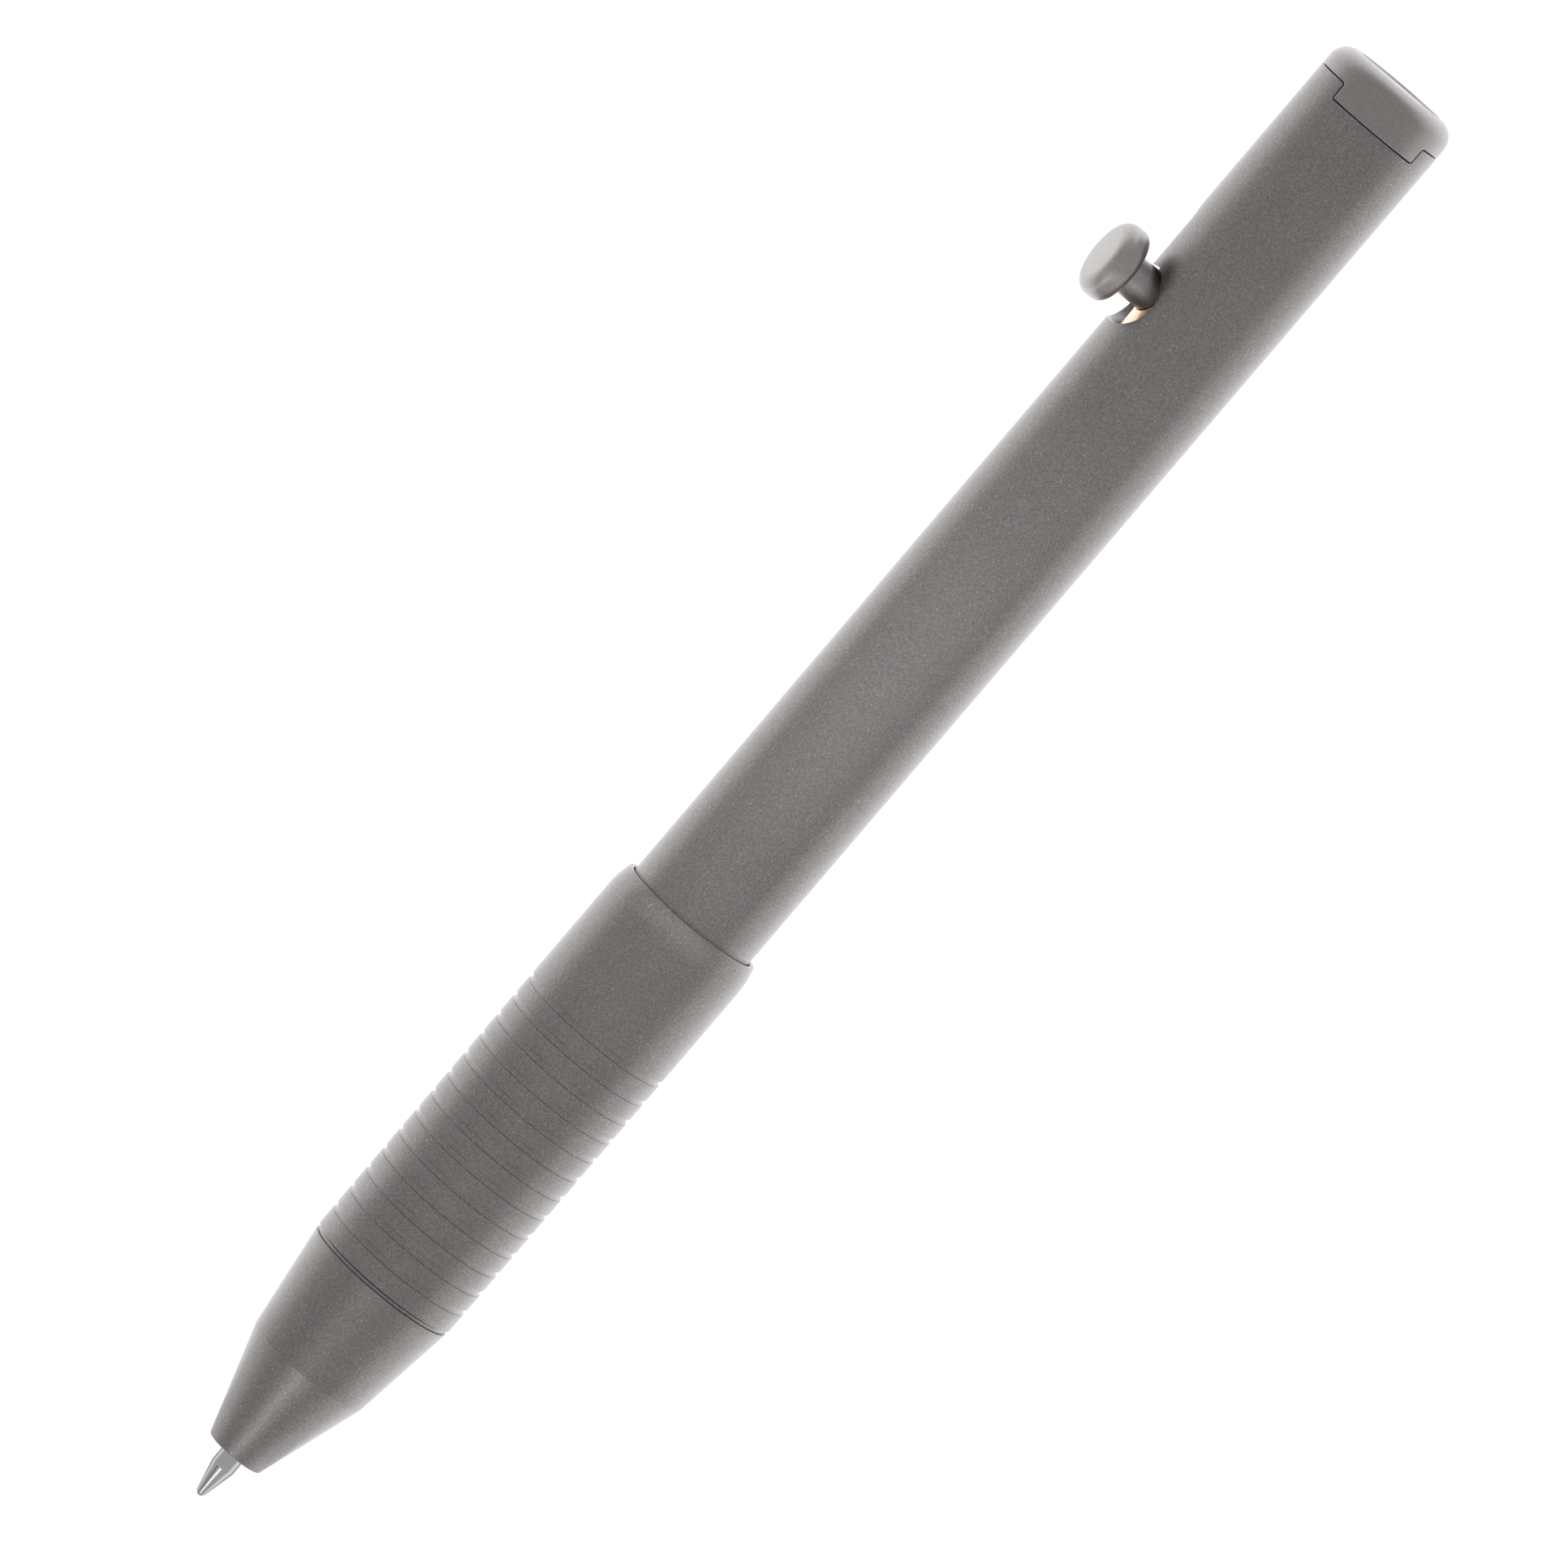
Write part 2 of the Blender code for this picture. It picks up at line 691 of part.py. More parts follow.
def make_knob(group, parent):
    """The bolt: a round flat knob on a stem, with a screw end in the slider."""
    head = knob_diameter / 2
    rim = knob_edge_radius
    under = knob_back_radius
    back = knob_height - knob_thickness
    shoulder = spotface_level() + seat_gap
    screw_end = shoulder - stem_screw_length
    root = knob_root_radius
    screw_radius = stem_screw_diameter / 2
    profile = [(0.0, knob_height)]
    profile += arc((head - rim, knob_height - rim), rim, 90.0, 0.0, 5)
    profile += arc((head - under, back + under), under, 0.0, -90.0, 6)
    profile += arc((stem_radius + root, back - root), root, 90.0, 180.0, 3)
    profile += [
        (stem_radius, shoulder),
        (screw_radius, shoulder),
        (screw_radius, screw_end + stem_screw_chamfer),
        (screw_radius - stem_screw_chamfer, screw_end),
        (0.0, screw_end),
    ]
    mesh = bpy.data.meshes.new("bolt_knob")
    shape = bmesh.new()
    verts = [shape.verts.new((radius, 0.0, height)) for radius, height in profile]
    for pair in zip(verts, verts[1:]):
        shape.edges.new(pair)
    shape.to_mesh(mesh)
    shape.free()
    knob = bpy.data.objects.new("bolt_knob", mesh)
    knob.matrix_world = radial_frame(bolt_x, locked_angle)
    add_screw(knob, "Z", KNOB_STEPS)
    return settle(place(knob, group, parent))


def main():
    """Build the whole pen."""
    clear_scene()
    pen = collection("bolt_action_pen")
    cutters = collection("cutters")
    titanium = material("blasted_titanium", (0.23, 0.225, 0.22), 0.5, 1.0)
    copper = material("copper", (0.72, 0.42, 0.28), 0.25, 1.0)
    steel = material("bright_steel", (0.62, 0.62, 0.62), 0.15, 1.0)
    carbide = material("carbide", (0.35, 0.35, 0.36), 0.2, 1.0)
    clear_plastic = material("clear_plastic", (0.80, 0.82, 0.82), 0.25, 0.0)
    white_plastic = material("white_plastic", (0.82, 0.82, 0.80), 0.4, 0.0)
    ink = material("black_ink", (0.01, 0.01, 0.015), 0.2, 0.0)
    grease = material("follower_grease", (0.75, 0.68, 0.45), 0.3, 0.0)
    rubber = material("black_rubber", (0.02, 0.02, 0.02), 0.7, 0.0)

    carriage = empty("refill_carriage", pen, refill_end)
    pivot = empty("bolt_pivot", pen, bolt_x, carriage)

    finishes = (
        (make_barrel(pen, cutters), titanium),
        (make_end_cap(pen, cutters), titanium),
        (make_ring("cap_o_ring", pen, tab_front + ring_from_shoulder + ring_groove_width / 2),
         rubber),
        (make_grip(pen), titanium),
        (make_nose(pen), titanium),
        (make_ring("nose_o_ring", pen, nose_base - ring_from_shoulder - ring_groove_width / 2),
         rubber),
        (make_spring(pen), steel),
        (make_ball(pen, carriage), carbide),
        (make_point(pen, carriage), steel),
        (make_holder(pen, carriage), white_plastic),
        (make_tube(pen, carriage), clear_plastic),
        (make_plug("ink_column", ink_front, ink_rear, pen, carriage), ink),
        (make_plug("ink_follower", follower_front, follower_rear, pen, carriage), grease),
        (make_end_plug(pen, carriage), white_plastic),
        (make_slider(pen, cutters, pivot), copper),
        (make_knob(pen, pivot), titanium),
    )
    for piece, finish in finishes:
        piece.data.materials.append(finish)
    print(f"overall length {(ball_front - cap_end) / MM:.2f} mm")


main()
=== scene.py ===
# %% [markdown]
# # A bolt-action pen in blasted titanium
# The solids of the pen come in as a fixed frame. The main sizes are read from it, and the rest are
# the pen's own drawing sizes or small edges that the solids leave out. Each visible part is then
# made again with many more facets and with real edge radii, because it is the tiny radius on an
# edge that catches light.

# %% Load the frame
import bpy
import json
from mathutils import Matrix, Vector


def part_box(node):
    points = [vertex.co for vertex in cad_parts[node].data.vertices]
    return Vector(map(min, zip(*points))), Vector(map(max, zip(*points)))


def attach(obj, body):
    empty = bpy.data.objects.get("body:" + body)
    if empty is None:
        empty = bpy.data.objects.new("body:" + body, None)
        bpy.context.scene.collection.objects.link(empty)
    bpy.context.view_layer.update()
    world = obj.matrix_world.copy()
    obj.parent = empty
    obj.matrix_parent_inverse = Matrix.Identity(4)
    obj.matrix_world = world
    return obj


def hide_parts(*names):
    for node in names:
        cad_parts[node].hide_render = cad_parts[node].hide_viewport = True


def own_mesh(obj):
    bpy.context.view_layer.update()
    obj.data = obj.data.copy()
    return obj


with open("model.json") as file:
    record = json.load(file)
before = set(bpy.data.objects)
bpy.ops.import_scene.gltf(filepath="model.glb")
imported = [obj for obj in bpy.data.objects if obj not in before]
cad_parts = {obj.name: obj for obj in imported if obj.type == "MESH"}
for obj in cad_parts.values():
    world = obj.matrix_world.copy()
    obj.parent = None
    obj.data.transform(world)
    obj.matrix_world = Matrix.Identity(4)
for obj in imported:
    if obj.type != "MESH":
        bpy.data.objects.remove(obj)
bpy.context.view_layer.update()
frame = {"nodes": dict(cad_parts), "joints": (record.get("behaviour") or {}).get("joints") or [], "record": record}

import json
import math

import bmesh
import bpy
from mathutils import Matrix, Vector, geometry

MM = 0.001
HAIR = 1e-4 * MM
nodes = frame["nodes"]

# %% [markdown]
# ## Where the parts are
# The frame's boxes give where each part starts and ends along the pen and how thick it is. The
# pen's axis is world X, its writing end is at the far +X end, and its cap is at the origin.

# %% Read the stations from the frame


def ends(node):
    """Where a node starts and ends along the pen."""
    low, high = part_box(node)
    return low.x, high.x


def outer_radius(node):
    """How far a round node reaches from the pen's axis."""
    low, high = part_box(node)
    return (high.z - low.z) / 2


def named(rows, name):
    """The row of this name in one of the frame's lists."""
    return next(row for row in rows if row["name"] == name)


barrel_rear, barrel_front = ends("barrel")
grip_rear, grip_front = ends("grip_sleeve")
nose_spigot_rear, nose_front = ends("nose_cone")
cap_end, cap_spigot_front = ends("end_cap")
slider_rear, slider_front = ends("bolt_slider")
point_tail, point_lip = ends("refill_point")
ball_rear, ball_front = ends("writing_ball")
barrel_radius = outer_radius("barrel")
grip_radius = outer_radius("grip_sleeve")
nose_radius = outer_radius("nose_cone")
slider_radius = outer_radius("bolt_slider")
point_radius = outer_radius("refill_point")
ball_radius = outer_radius("writing_ball")
spring_rear, spring_front = ends("return_spring")
knob_centre = Vector(named(frame["record"]["mounts"], "knob_face")["pos_m"])
bolt_x = knob_centre.x
knob_height = knob_centre.yz.length
bolt_angle = math.atan2(knob_centre.z, knob_centre.y)
print(f"barrel {barrel_rear / MM:.2f} to {barrel_front / MM:.2f} mm, bolt at {bolt_x / MM:.2f} mm")

# %% [markdown]
# ## Turning a part
# Nearly every part of this pen is turned on a lathe, so one helper does most of the work. It takes
# a profile of corners, rounds each corner by its own small radius, and sweeps the result round the
# pen's axis. Blender's Screw modifier could do the sweep too, but here the rings have to meet
# other rings point for point, so they are made directly.

# %% Helpers for a turned profile
ROUND_STEPS = 144
LARGEST_SHARE = 0.49


def soften(corners, closed=True, steps=5):
    """Round a profile's corners. Each corner is (x, radius, rounding).

    A rounding takes at most LARGEST_SHARE of each side, so that two of them never meet.
    """
    points = []
    count = len(corners)
    for index, (x, y, rounding) in enumerate(corners):
        here = Vector((x, y))
        if rounding == 0.0 or (not closed and index in (0, count - 1)):
            points.append(here)
            continue
        back = Vector(corners[index - 1][:2]) - here
        ahead = Vector(corners[(index + 1) % count][:2]) - here
        half = back.angle(ahead) / 2
        shorter = min(back.length, ahead.length)
        reach = min(rounding / math.tan(half), LARGEST_SHARE * shorter)
        back.normalize()
        ahead.normalize()
        centre = here + (back + ahead).normalized() * reach / math.cos(half)
        first = here + back * reach - centre
        last = here + ahead * reach - centre
        sweep = first.angle_signed(last)
        for step in range(steps + 1):
            turned = first.copy()
            turned.rotate(Matrix.Rotation(-sweep * step / steps, 2))
            points.append(centre + turned)
    return [(point.x, point.y) for point in points]


def on_round(x, radius, angle):
    """A point at an angle round the pen's axis, from +Y towards +Z."""
    return Vector((x, radius * math.cos(angle), radius * math.sin(angle)))


def add_band(shape, first, second, closed=True):
    """Join two rings of points with faces. A ring of one point is a tip on the axis."""
    count = max(len(first), len(second))
    for index in range(count if closed else count - 1):
        after = (index + 1) % count
        if len(first) == 1:
            shape.faces.new((first[0], second[index], second[after]))
        elif len(second) == 1:
            shape.faces.new((first[index], second[0], first[after]))
        else:
            shape.faces.new((first[index], second[index], second[after], first[after]))


def add_turned(shape, profile, steps=ROUND_STEPS, closed=True):
    """Sweep (x, radius) points round the pen's axis."""
    rings = []
    for x, radius in profile:
        count = steps if radius > HAIR else 1
        angles = [2 * math.pi * step / steps for step in range(count)]
        rings.append([shape.verts.new(on_round(x, radius, angle)) for angle in angles])
    for first, second in zip(rings, rings[1:]):
        add_band(shape, first, second)
    if closed:
        add_band(shape, rings[-1], rings[0])


print(f"a turned ring has {ROUND_STEPS} points")

# %% [markdown]
# ## From a shape to a piece
# A shape is built from loose faces, so its points are welded, its normals are turned outwards and
# its sharp edges are marked. The Weighted Normal modifier then lets large faces set the shading,
# so a flat stays flat right up to its rounded edge. A piece also says which body carries it and
# which solids it stands for.

# %% Helpers that finish a piece
SHARP_ANGLE = math.radians(35.0)


def shade_evenly(piece, weight):
    """Smooth shading between sharp edges. With more weight, large faces count for more."""
    piece.data.shade_smooth()
    piece.data.set_sharp_from_angle(angle=SHARP_ANGLE)
    weigh = piece.modifiers.new("even_shading", "WEIGHTED_NORMAL")
    weigh.keep_sharp = True
    weigh.weight = weight


def finish_mesh(name, shape):
    """Weld a bmesh into an object with smooth shading between its sharp edges."""
    bmesh.ops.remove_doubles(shape, verts=shape.verts, dist=HAIR)
    bmesh.ops.recalc_face_normals(shape, faces=shape.faces)
    open_edges = sum(1 for edge in shape.edges if not edge.is_manifold)
    mesh = bpy.data.meshes.new(name)
    shape.to_mesh(mesh)
    shape.free()
    piece = bpy.data.objects.new(name, mesh)
    bpy.context.scene.collection.objects.link(piece)
    shade_evenly(piece, weight=100)
    print(f"{name}: {len(mesh.polygons)} faces, {open_edges} open edges")
    return piece


def stand_in(piece, body, slot, *replaced):
    """Let a piece stand for CAD nodes on the body that carries them."""
    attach(piece, body)
    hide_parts(*replaced)
    return piece


print("edges count as sharp above", round(math.degrees(SHARP_ANGLE)), "degrees")

# %% [markdown]
# ## The grip sleeve
# A thicker sleeve with thirteen shallow grooves that stop the fingers from slipping. Each groove
# is cut with a round-nosed tool, so its bottom corners are round and its top edges only have the
# burr taken off. The grooves come from a loop, because they are all the same. The sleeve's tail
# curves down to the barrel, and the thicker front of it sits on the barrel's neck.

# %% Turn the grip sleeve
groove_count = 13
groove_pitch = 1.95 * MM
groove_width = 0.58 * MM
groove_depth = 0.165 * MM
groove_root = 0.06 * MM
burr = 0.035 * MM
front_chamfer = 0.06 * MM
tail_length = 2.35 * MM
tail_drop = 0.35 * MM
sleeve_bore = barrel_radius + 0.10 * MM
lip_bore = barrel_radius - 0.45 * MM
lip_rear = barrel_front - 11.90 * MM

corners = [
    (grip_front, grip_radius - front_chamfer, burr),
    (grip_front - front_chamfer, grip_radius, burr),
]
for groove in range(groove_count):
    middle = grip_front - groove_pitch * (groove + 1)
    half = groove_width / 2
    corners += [
        (middle + half, grip_radius, burr),
        (middle + half - burr, grip_radius - groove_depth, groove_root),
        (middle - half + burr, grip_radius - groove_depth, groove_root),
        (middle - half, grip_radius, burr),
    ]
tail_radius = (tail_length ** 2 + tail_drop ** 2) / (2 * tail_drop)
tail_steps = 8
for step in range(tail_steps + 1):
    back = tail_length * step / tail_steps
    drop = tail_radius - math.sqrt(tail_radius ** 2 - back ** 2)
    corners.append((grip_rear + tail_length - back, grip_radius - drop, 0.0))
corners[-1] = (*corners[-1][:2], 2 * burr)
corners += [
    (grip_rear, sleeve_bore, 4 * burr),
    (lip_rear, sleeve_bore, 0.0),
    (lip_rear, lip_bore, 0.0),
    (grip_front, lip_bore, burr),
]
shape = bmesh.new()
add_turned(shape, soften(corners))
sleeve = stand_in(finish_mesh("sleeve", shape), "shell", "titanium", "grip_sleeve")

# %% [markdown]
# ## The nose cone
# Two tapers that meet in a soft ridge, with a narrow mouth that guides the refill's point. Its rear
# edge is relieved by a shallow step, which reads as a thin grey band beside the dark joint.
# Behind the shoulder it has a spigot that screws into the barrel, and a bore for the spring.

# %% Turn the nose cone
joint_gap = 0.09 * MM
nose_base = grip_front + joint_gap
band_length = 0.25 * MM
band_depth = 0.24 * MM
band_slope = 0.05 * MM
nose_kink = nose_front - 8.92 * MM
nose_kink_radius = 5.30 * MM
kink_round = 0.35 * MM
mouth_outer = 2.475 * MM
mouth_edge = 0.14 * MM
mouth_bore = point_radius + 0.20 * MM
spigot_radius = barrel_radius - 1.25 * MM
refill_guide = spigot_radius - 1.15 * MM
spring_shoulder = spring_front + 0.10 * MM
spring_bore_rear = spring_shoulder - 6.0 * MM
spring_bore = 2.72 * MM
spigot_edge = 0.2 * MM
nose_corners = [
    (nose_front, mouth_bore, mouth_edge),
    (nose_front, mouth_outer, mouth_edge),
    (nose_kink, nose_kink_radius, kink_round),
    (nose_base + band_length + band_slope, nose_radius, 0.5 * burr),
    (nose_base + band_length, nose_radius - band_depth, 0.5 * burr),
    (nose_base, nose_radius - band_depth, 0.5 * burr),
    (nose_base, spigot_radius, 0.0),
    (nose_spigot_rear, spigot_radius, spigot_edge),
    (nose_spigot_rear, refill_guide, 0.0),
    (spring_bore_rear, refill_guide, 0.0),
    (spring_bore_rear, spring_bore, 0.0),
    (spring_shoulder, spring_bore, 0.0),
    (spring_shoulder, mouth_bore, 0.0),
]
shape = bmesh.new()
add_turned(shape, soften(nose_corners))
nose = stand_in(finish_mesh("nose", shape), "shell", "titanium", "nose_cone")

# %% [markdown]
# ## Holes in a tube, without Booleans
# The J-slot and the stepped seam are milled edges with a tiny rounded burr, and their highlights
# are what the eye reads. A Boolean leaves ragged triangles there that a bevel can't follow. So the
# tube's skin is laid out flat, with x along the pen and the turn round it as the other axis. The
# outline of each hole is drawn on it, the sheet between the outlines is filled with triangles, and
# the result is wrapped round the pen. The rounded edge and the wall are bands that follow the
# outline, so they stay even all the way round.

# %% Helpers for lines on the flat sheet
SHEET_START = math.radians(-25.0)


def straight(first, last, steps):
    """Points between two points, without the first and the last."""
    return [first.lerp(last, step / steps) for step in range(1, steps)]


def densify(points, spacing):
    """Add points on the long stretches of a line, so that it can bend round the pen."""
    dense = [points[0]]
    for first, last in zip(points, points[1:]):
        dense += straight(first, last, max(1, math.ceil((last - first).length / spacing)))
        dense.append(last)
    return dense


def into_metal(outline, closed, side):
    """At each point of an outline, the direction square to it: to its left, or right for -1."""
    count = len(outline)
    normals = []
    for index in range(count):
        before = outline[index - 1] if closed or index > 0 else outline[index]
        after = outline[(index + 1) % count] if closed or index < count - 1 else outline[index]
        along = (after - before).normalized() * side
        normals.append(Vector((-along.y, along.x)))
    return normals


def inside(point, outline):
    """Whether a point of the sheet lies inside an outline."""
    found = False
    previous = outline[-1]
    for current in outline:
        if (current.y > point.y) != (previous.y > point.y):
            slope = (previous.x - current.x) / (previous.y - current.y)
            if point.x < current.x + (point.y - current.y) * slope:
                found = not found
        previous = current
    return found


def wrap(shape, points, radius, sheet_radius):
    """Put points of the flat sheet on a cylinder of this radius."""
    return [shape.verts.new(on_round(point.x, radius, point.y / sheet_radius)) for point in points]


def ring_line(x, sheet_radius, steps=ROUND_STEPS):
    """A straight line right across the sheet, which becomes a ring."""
    return [Vector((x, sheet_radius * (SHEET_START + 2 * math.pi * step / steps)))
            for step in range(steps + 1)]


print("the sheet is cut open at", round(math.degrees(SHEET_START)), "degrees")

# %% [markdown]
# ## Filling the sheet
# The metal between the outlines is a field of triangles. Long thin ones would crease when the
# sheet is wrapped, so rows of extra points are laid in the metal first, away from the outlines.
# Blender's constrained triangulation then joins them all and keeps every outline as it is drawn.

# %% Helpers that fill and wrap the sheet
ELBOW_ROOM = 0.35
INSIDE_OF_OUTLINES = 1
SAME_POINT = 1e-6


def in_metal(point, border, holes):
    """Whether a point of the sheet is inside the border and outside every hole."""
    return inside(point, border) and not any(inside(point, hole) for hole in holes)


def field_points(border, outlines, holes, sheet_radius, cell):
    """Rows of points in the metal that keep some elbow room from the outlines."""
    buckets = {}
    for outline in outlines:
        for point in outline:
            buckets.setdefault((round(point.x / cell), round(point.y / cell)), []).append(point)
    low = min(point.x for point in border)
    high = max(point.x for point in border)
    rows = max(1, round((high - low) / cell))
    margin = ELBOW_ROOM * min(cell, 2 * math.pi * sheet_radius / ROUND_STEPS)
    field = []
    for row in range(1, rows):
        for point in ring_line(low + (high - low) * row / rows, sheet_radius)[1:-1]:
            column, line = round(point.x / cell), round(point.y / cell)
            close = [other for dx in (-1, 0, 1) for dy in (-1, 0, 1)
                     for other in buckets.get((column + dx, line + dy), ())]
            crowded = any((other - point).length < margin for other in close)
            if not crowded and in_metal(point, border, holes):
                field.append(point)
    return field


def fill_sheet(shape, radius, sheet_radius, rear_line, front_line, holes=(), cell=0.5 * MM):
    """Fill the sheet between two lines, leave the holes out, and wrap it round the pen."""
    border = rear_line + front_line[::-1]
    outlines = [border, *holes]
    points = [point for outline in outlines for point in outline]
    points += field_points(border, outlines, holes, sheet_radius, cell)
    edges = []
    start = 0
    for outline in outlines:
        count = len(outline)
        edges += [(start + index, start + (index + 1) % count) for index in range(count)]
        start += count
    drawn = [point / MM for point in points]
    flat, _, faces, *_ = geometry.delaunay_2d_cdt(drawn, edges, [], INSIDE_OF_OUTLINES, SAME_POINT)
    verts = wrap(shape, [point * MM for point in flat], radius, sheet_radius)
    for face in faces:
        middle = sum((flat[corner] for corner in face), Vector((0.0, 0.0))) * MM / 3
        if in_metal(middle, border, holes):
            shape.faces.new([verts[corner] for corner in face])


def soft_edge(shape, outline, rounding, radius, sheet_radius, closed=True, side=1, steps=4):
    """Bands that round the edge of an outline. Returns where the flat skin and the wall start."""
    normals = into_metal(outline, closed, side)
    rings = []
    for step in range(steps + 1):
        turn = math.pi / 2 * step / steps
        aside = rounding * (1 - math.cos(turn))
        sunk = rounding * (1 - math.sin(turn))
        moved = [point + normal * aside for point, normal in zip(outline, normals)]
        rings.append((moved, wrap(shape, moved, radius - sunk, sheet_radius)))
    for (_, first), (_, second) in zip(rings, rings[1:]):
        add_band(shape, first, second, closed)
    return rings[-1][0], rings[0][1]


print(f"extra points keep {ELBOW_ROOM} of a cell away from the outlines")

# %% [markdown]
# ## The slot
# The slot is milled with round cutters: a long leg on the far side, a round pocket turned towards
# the camera, and a bridge between them. The pointed hook that is left between leg and pocket holds
# the bolt. Each cutter comes through the tube as a straight round hole, so its outline is worked
# out once for the outside of the tube and once for the bore.

# %% Draw the slot's outline on the sheet
leg_angle = math.radians(180.0)
pocket_angle = math.radians(148.2)
leg_half_width = 1.975 * MM
pocket_half_width = 2.80 * MM
slot_front = 27.70 * MM
slot_rear = slot_front - 11.60 * MM
bore_radius = barrel_radius - 1.15 * MM
half_turn_steps = 28
leg_steps = 34
bridge_steps = 16
pocket_steps = 60
hook_steps = 20


def cutter_rim(angle, half_width, middle_x, radius, first, last, steps):
    """Points on a round cutter's rim, where it comes through a tube of this radius."""
    points = []
    for step in range(steps + 1):
        turn = math.radians(first + (last - first) * step / steps)
        round_pen = angle + math.asin(half_width * math.sin(turn) / radius)
        points.append(Vector((middle_x + half_width * math.cos(turn), barrel_radius * round_pen)))
    return points


def slot_outline(radius):
    """The whole slot: leg, bridge, pocket and the hook between pocket and leg."""
    near_angle = leg_angle - math.asin(leg_half_width / radius)
    hook_aside = radius * math.sin(near_angle - pocket_angle)
    hook_turn = -180.0 - math.degrees(math.asin(hook_aside / pocket_half_width))
    leg_rear = cutter_rim(leg_angle, leg_half_width, slot_rear + leg_half_width, radius,
                          270.0, 90.0, half_turn_steps)
    leg_front = cutter_rim(leg_angle, leg_half_width, slot_front - leg_half_width, radius,
                           90.0, 0.0, half_turn_steps // 2)
    pocket = cutter_rim(pocket_angle, pocket_half_width, slot_front - pocket_half_width, radius,
                        0.0, hook_turn, pocket_steps)
    outline = leg_rear + straight(leg_rear[-1], leg_front[0], leg_steps) + leg_front
    outline += straight(leg_front[-1], pocket[0], bridge_steps) + pocket
    return outline + straight(pocket[-1], leg_rear[0], hook_steps)


outer_slot = slot_outline(barrel_radius)
inner_slot = slot_outline(bore_radius)
print(f"slot outline: {len(outer_slot)} points outside, {len(inner_slot)} inside")

# %% [markdown]
# ## The stepped seam
# The tube's rear end has two wide notches, and the cap has two tabs that drop into them. Both sides
# of the seam are the same stepped line, drawn a tenth of a millimetre apart. Where a corner is
# tight on one side it is wide on the other, so that the gap between them stays even.

# %% Draw the stepped seam
seam = cap_end + 2.40 * MM
seam_gap = 0.10 * MM
tab_depth = 1.45 * MM
tab_half_turn = math.radians(43.0)
tab_angles = (math.radians(74.0), math.radians(254.0))
line_spacing = 0.25 * MM


def stepped_line(shallow, deep, half_turn, shallow_round, deep_round):
    """A line round the pen that steps forward at each tab."""
    corners = [(shallow, barrel_radius * SHEET_START, 0.0)]
    for middle in tab_angles:
        first, last = (barrel_radius * (middle + side * half_turn) for side in (-1, 1))
        corners += [(shallow, first, shallow_round), (deep, first, deep_round),
                    (deep, last, deep_round), (shallow, last, shallow_round)]
    corners.append((shallow, barrel_radius * (SHEET_START + 2 * math.pi), 0.0))
    points = [Vector(point) for point in soften(corners, closed=False)]
    return densify(points, line_spacing)


inner_corner = 0.20 * MM
outer_corner = inner_corner + seam_gap
notch_half_turn = tab_half_turn + seam_gap / barrel_radius
barrel_line = stepped_line(seam + seam_gap, seam + tab_depth + seam_gap, notch_half_turn,
                           inner_corner, outer_corner)
cap_line = stepped_line(seam, seam + tab_depth, tab_half_turn, outer_corner, inner_corner)
print(f"seam lines: {len(barrel_line)} and {len(cap_line)} points")

# %% [markdown]
# ## The barrel
# The tube is put together from the inside and the outside of the sheet, the walls of slot and
# seam between them, and a plain turned front. Only the rear 40 mm have holes, so only they need
# the sheet. The thinner neck at the front goes into the grip sleeve.

# %% Wrap the barrel
slot_edge = 0.05 * MM
seam_edge = 0.04 * MM
skin_front = 40.0 * MM
neck_radius = barrel_radius - 0.50 * MM
neck_rear = barrel_front - 12.0 * MM
neck_chamfer = 0.25 * MM

shape = bmesh.new()
skin_slot, wall_top = soft_edge(shape, outer_slot, slot_edge, barrel_radius, barrel_radius)
add_band(shape, wall_top, wrap(shape, inner_slot, bore_radius, barrel_radius))
skin_line, wall_top = soft_edge(shape, barrel_line, seam_edge, barrel_radius, barrel_radius,
                                closed=False, side=-1)
add_band(shape, wall_top, wrap(shape, barrel_line, bore_radius, barrel_radius), closed=False)
skin_end = ring_line(skin_front, barrel_radius)
fill_sheet(shape, barrel_radius, barrel_radius, skin_line, skin_end, [skin_slot])
fill_sheet(shape, bore_radius, barrel_radius, barrel_line, skin_end, [inner_slot])
add_turned(shape, [
    (skin_front, barrel_radius), (neck_rear, barrel_radius), (neck_rear, neck_radius),
    (barrel_front - neck_chamfer, neck_radius), (barrel_front, neck_radius - neck_chamfer),
    (barrel_front, bore_radius), (skin_front, bore_radius),
], closed=False)
tube = stand_in(finish_mesh("tube", shape), "shell", "titanium", "barrel")

# %% [markdown]
# ## The end cap
# The cap is a rounded plug whose two tabs drop into the barrel's notches, so it can't turn. Its
# end face is a shallow dish, which leaves a thin bright ring round the rim. Its skirt is a sheet
# like the barrel's, and its head and its plug are turned.

# %% Wrap the cap
cap_edge_radius = 1.65 * MM
rim_land = 0.08 * MM
dish_depth = 0.15 * MM
plug_radius = bore_radius - 0.10 * MM
groove_rear = seam + tab_depth + 1.40 * MM
groove_front = groove_rear + 1.0 * MM
groove_radius = 3.70 * MM
skin_rear = cap_end + cap_edge_radius
skin_cell = 0.25 * MM
plug_cell = 0.4 * MM

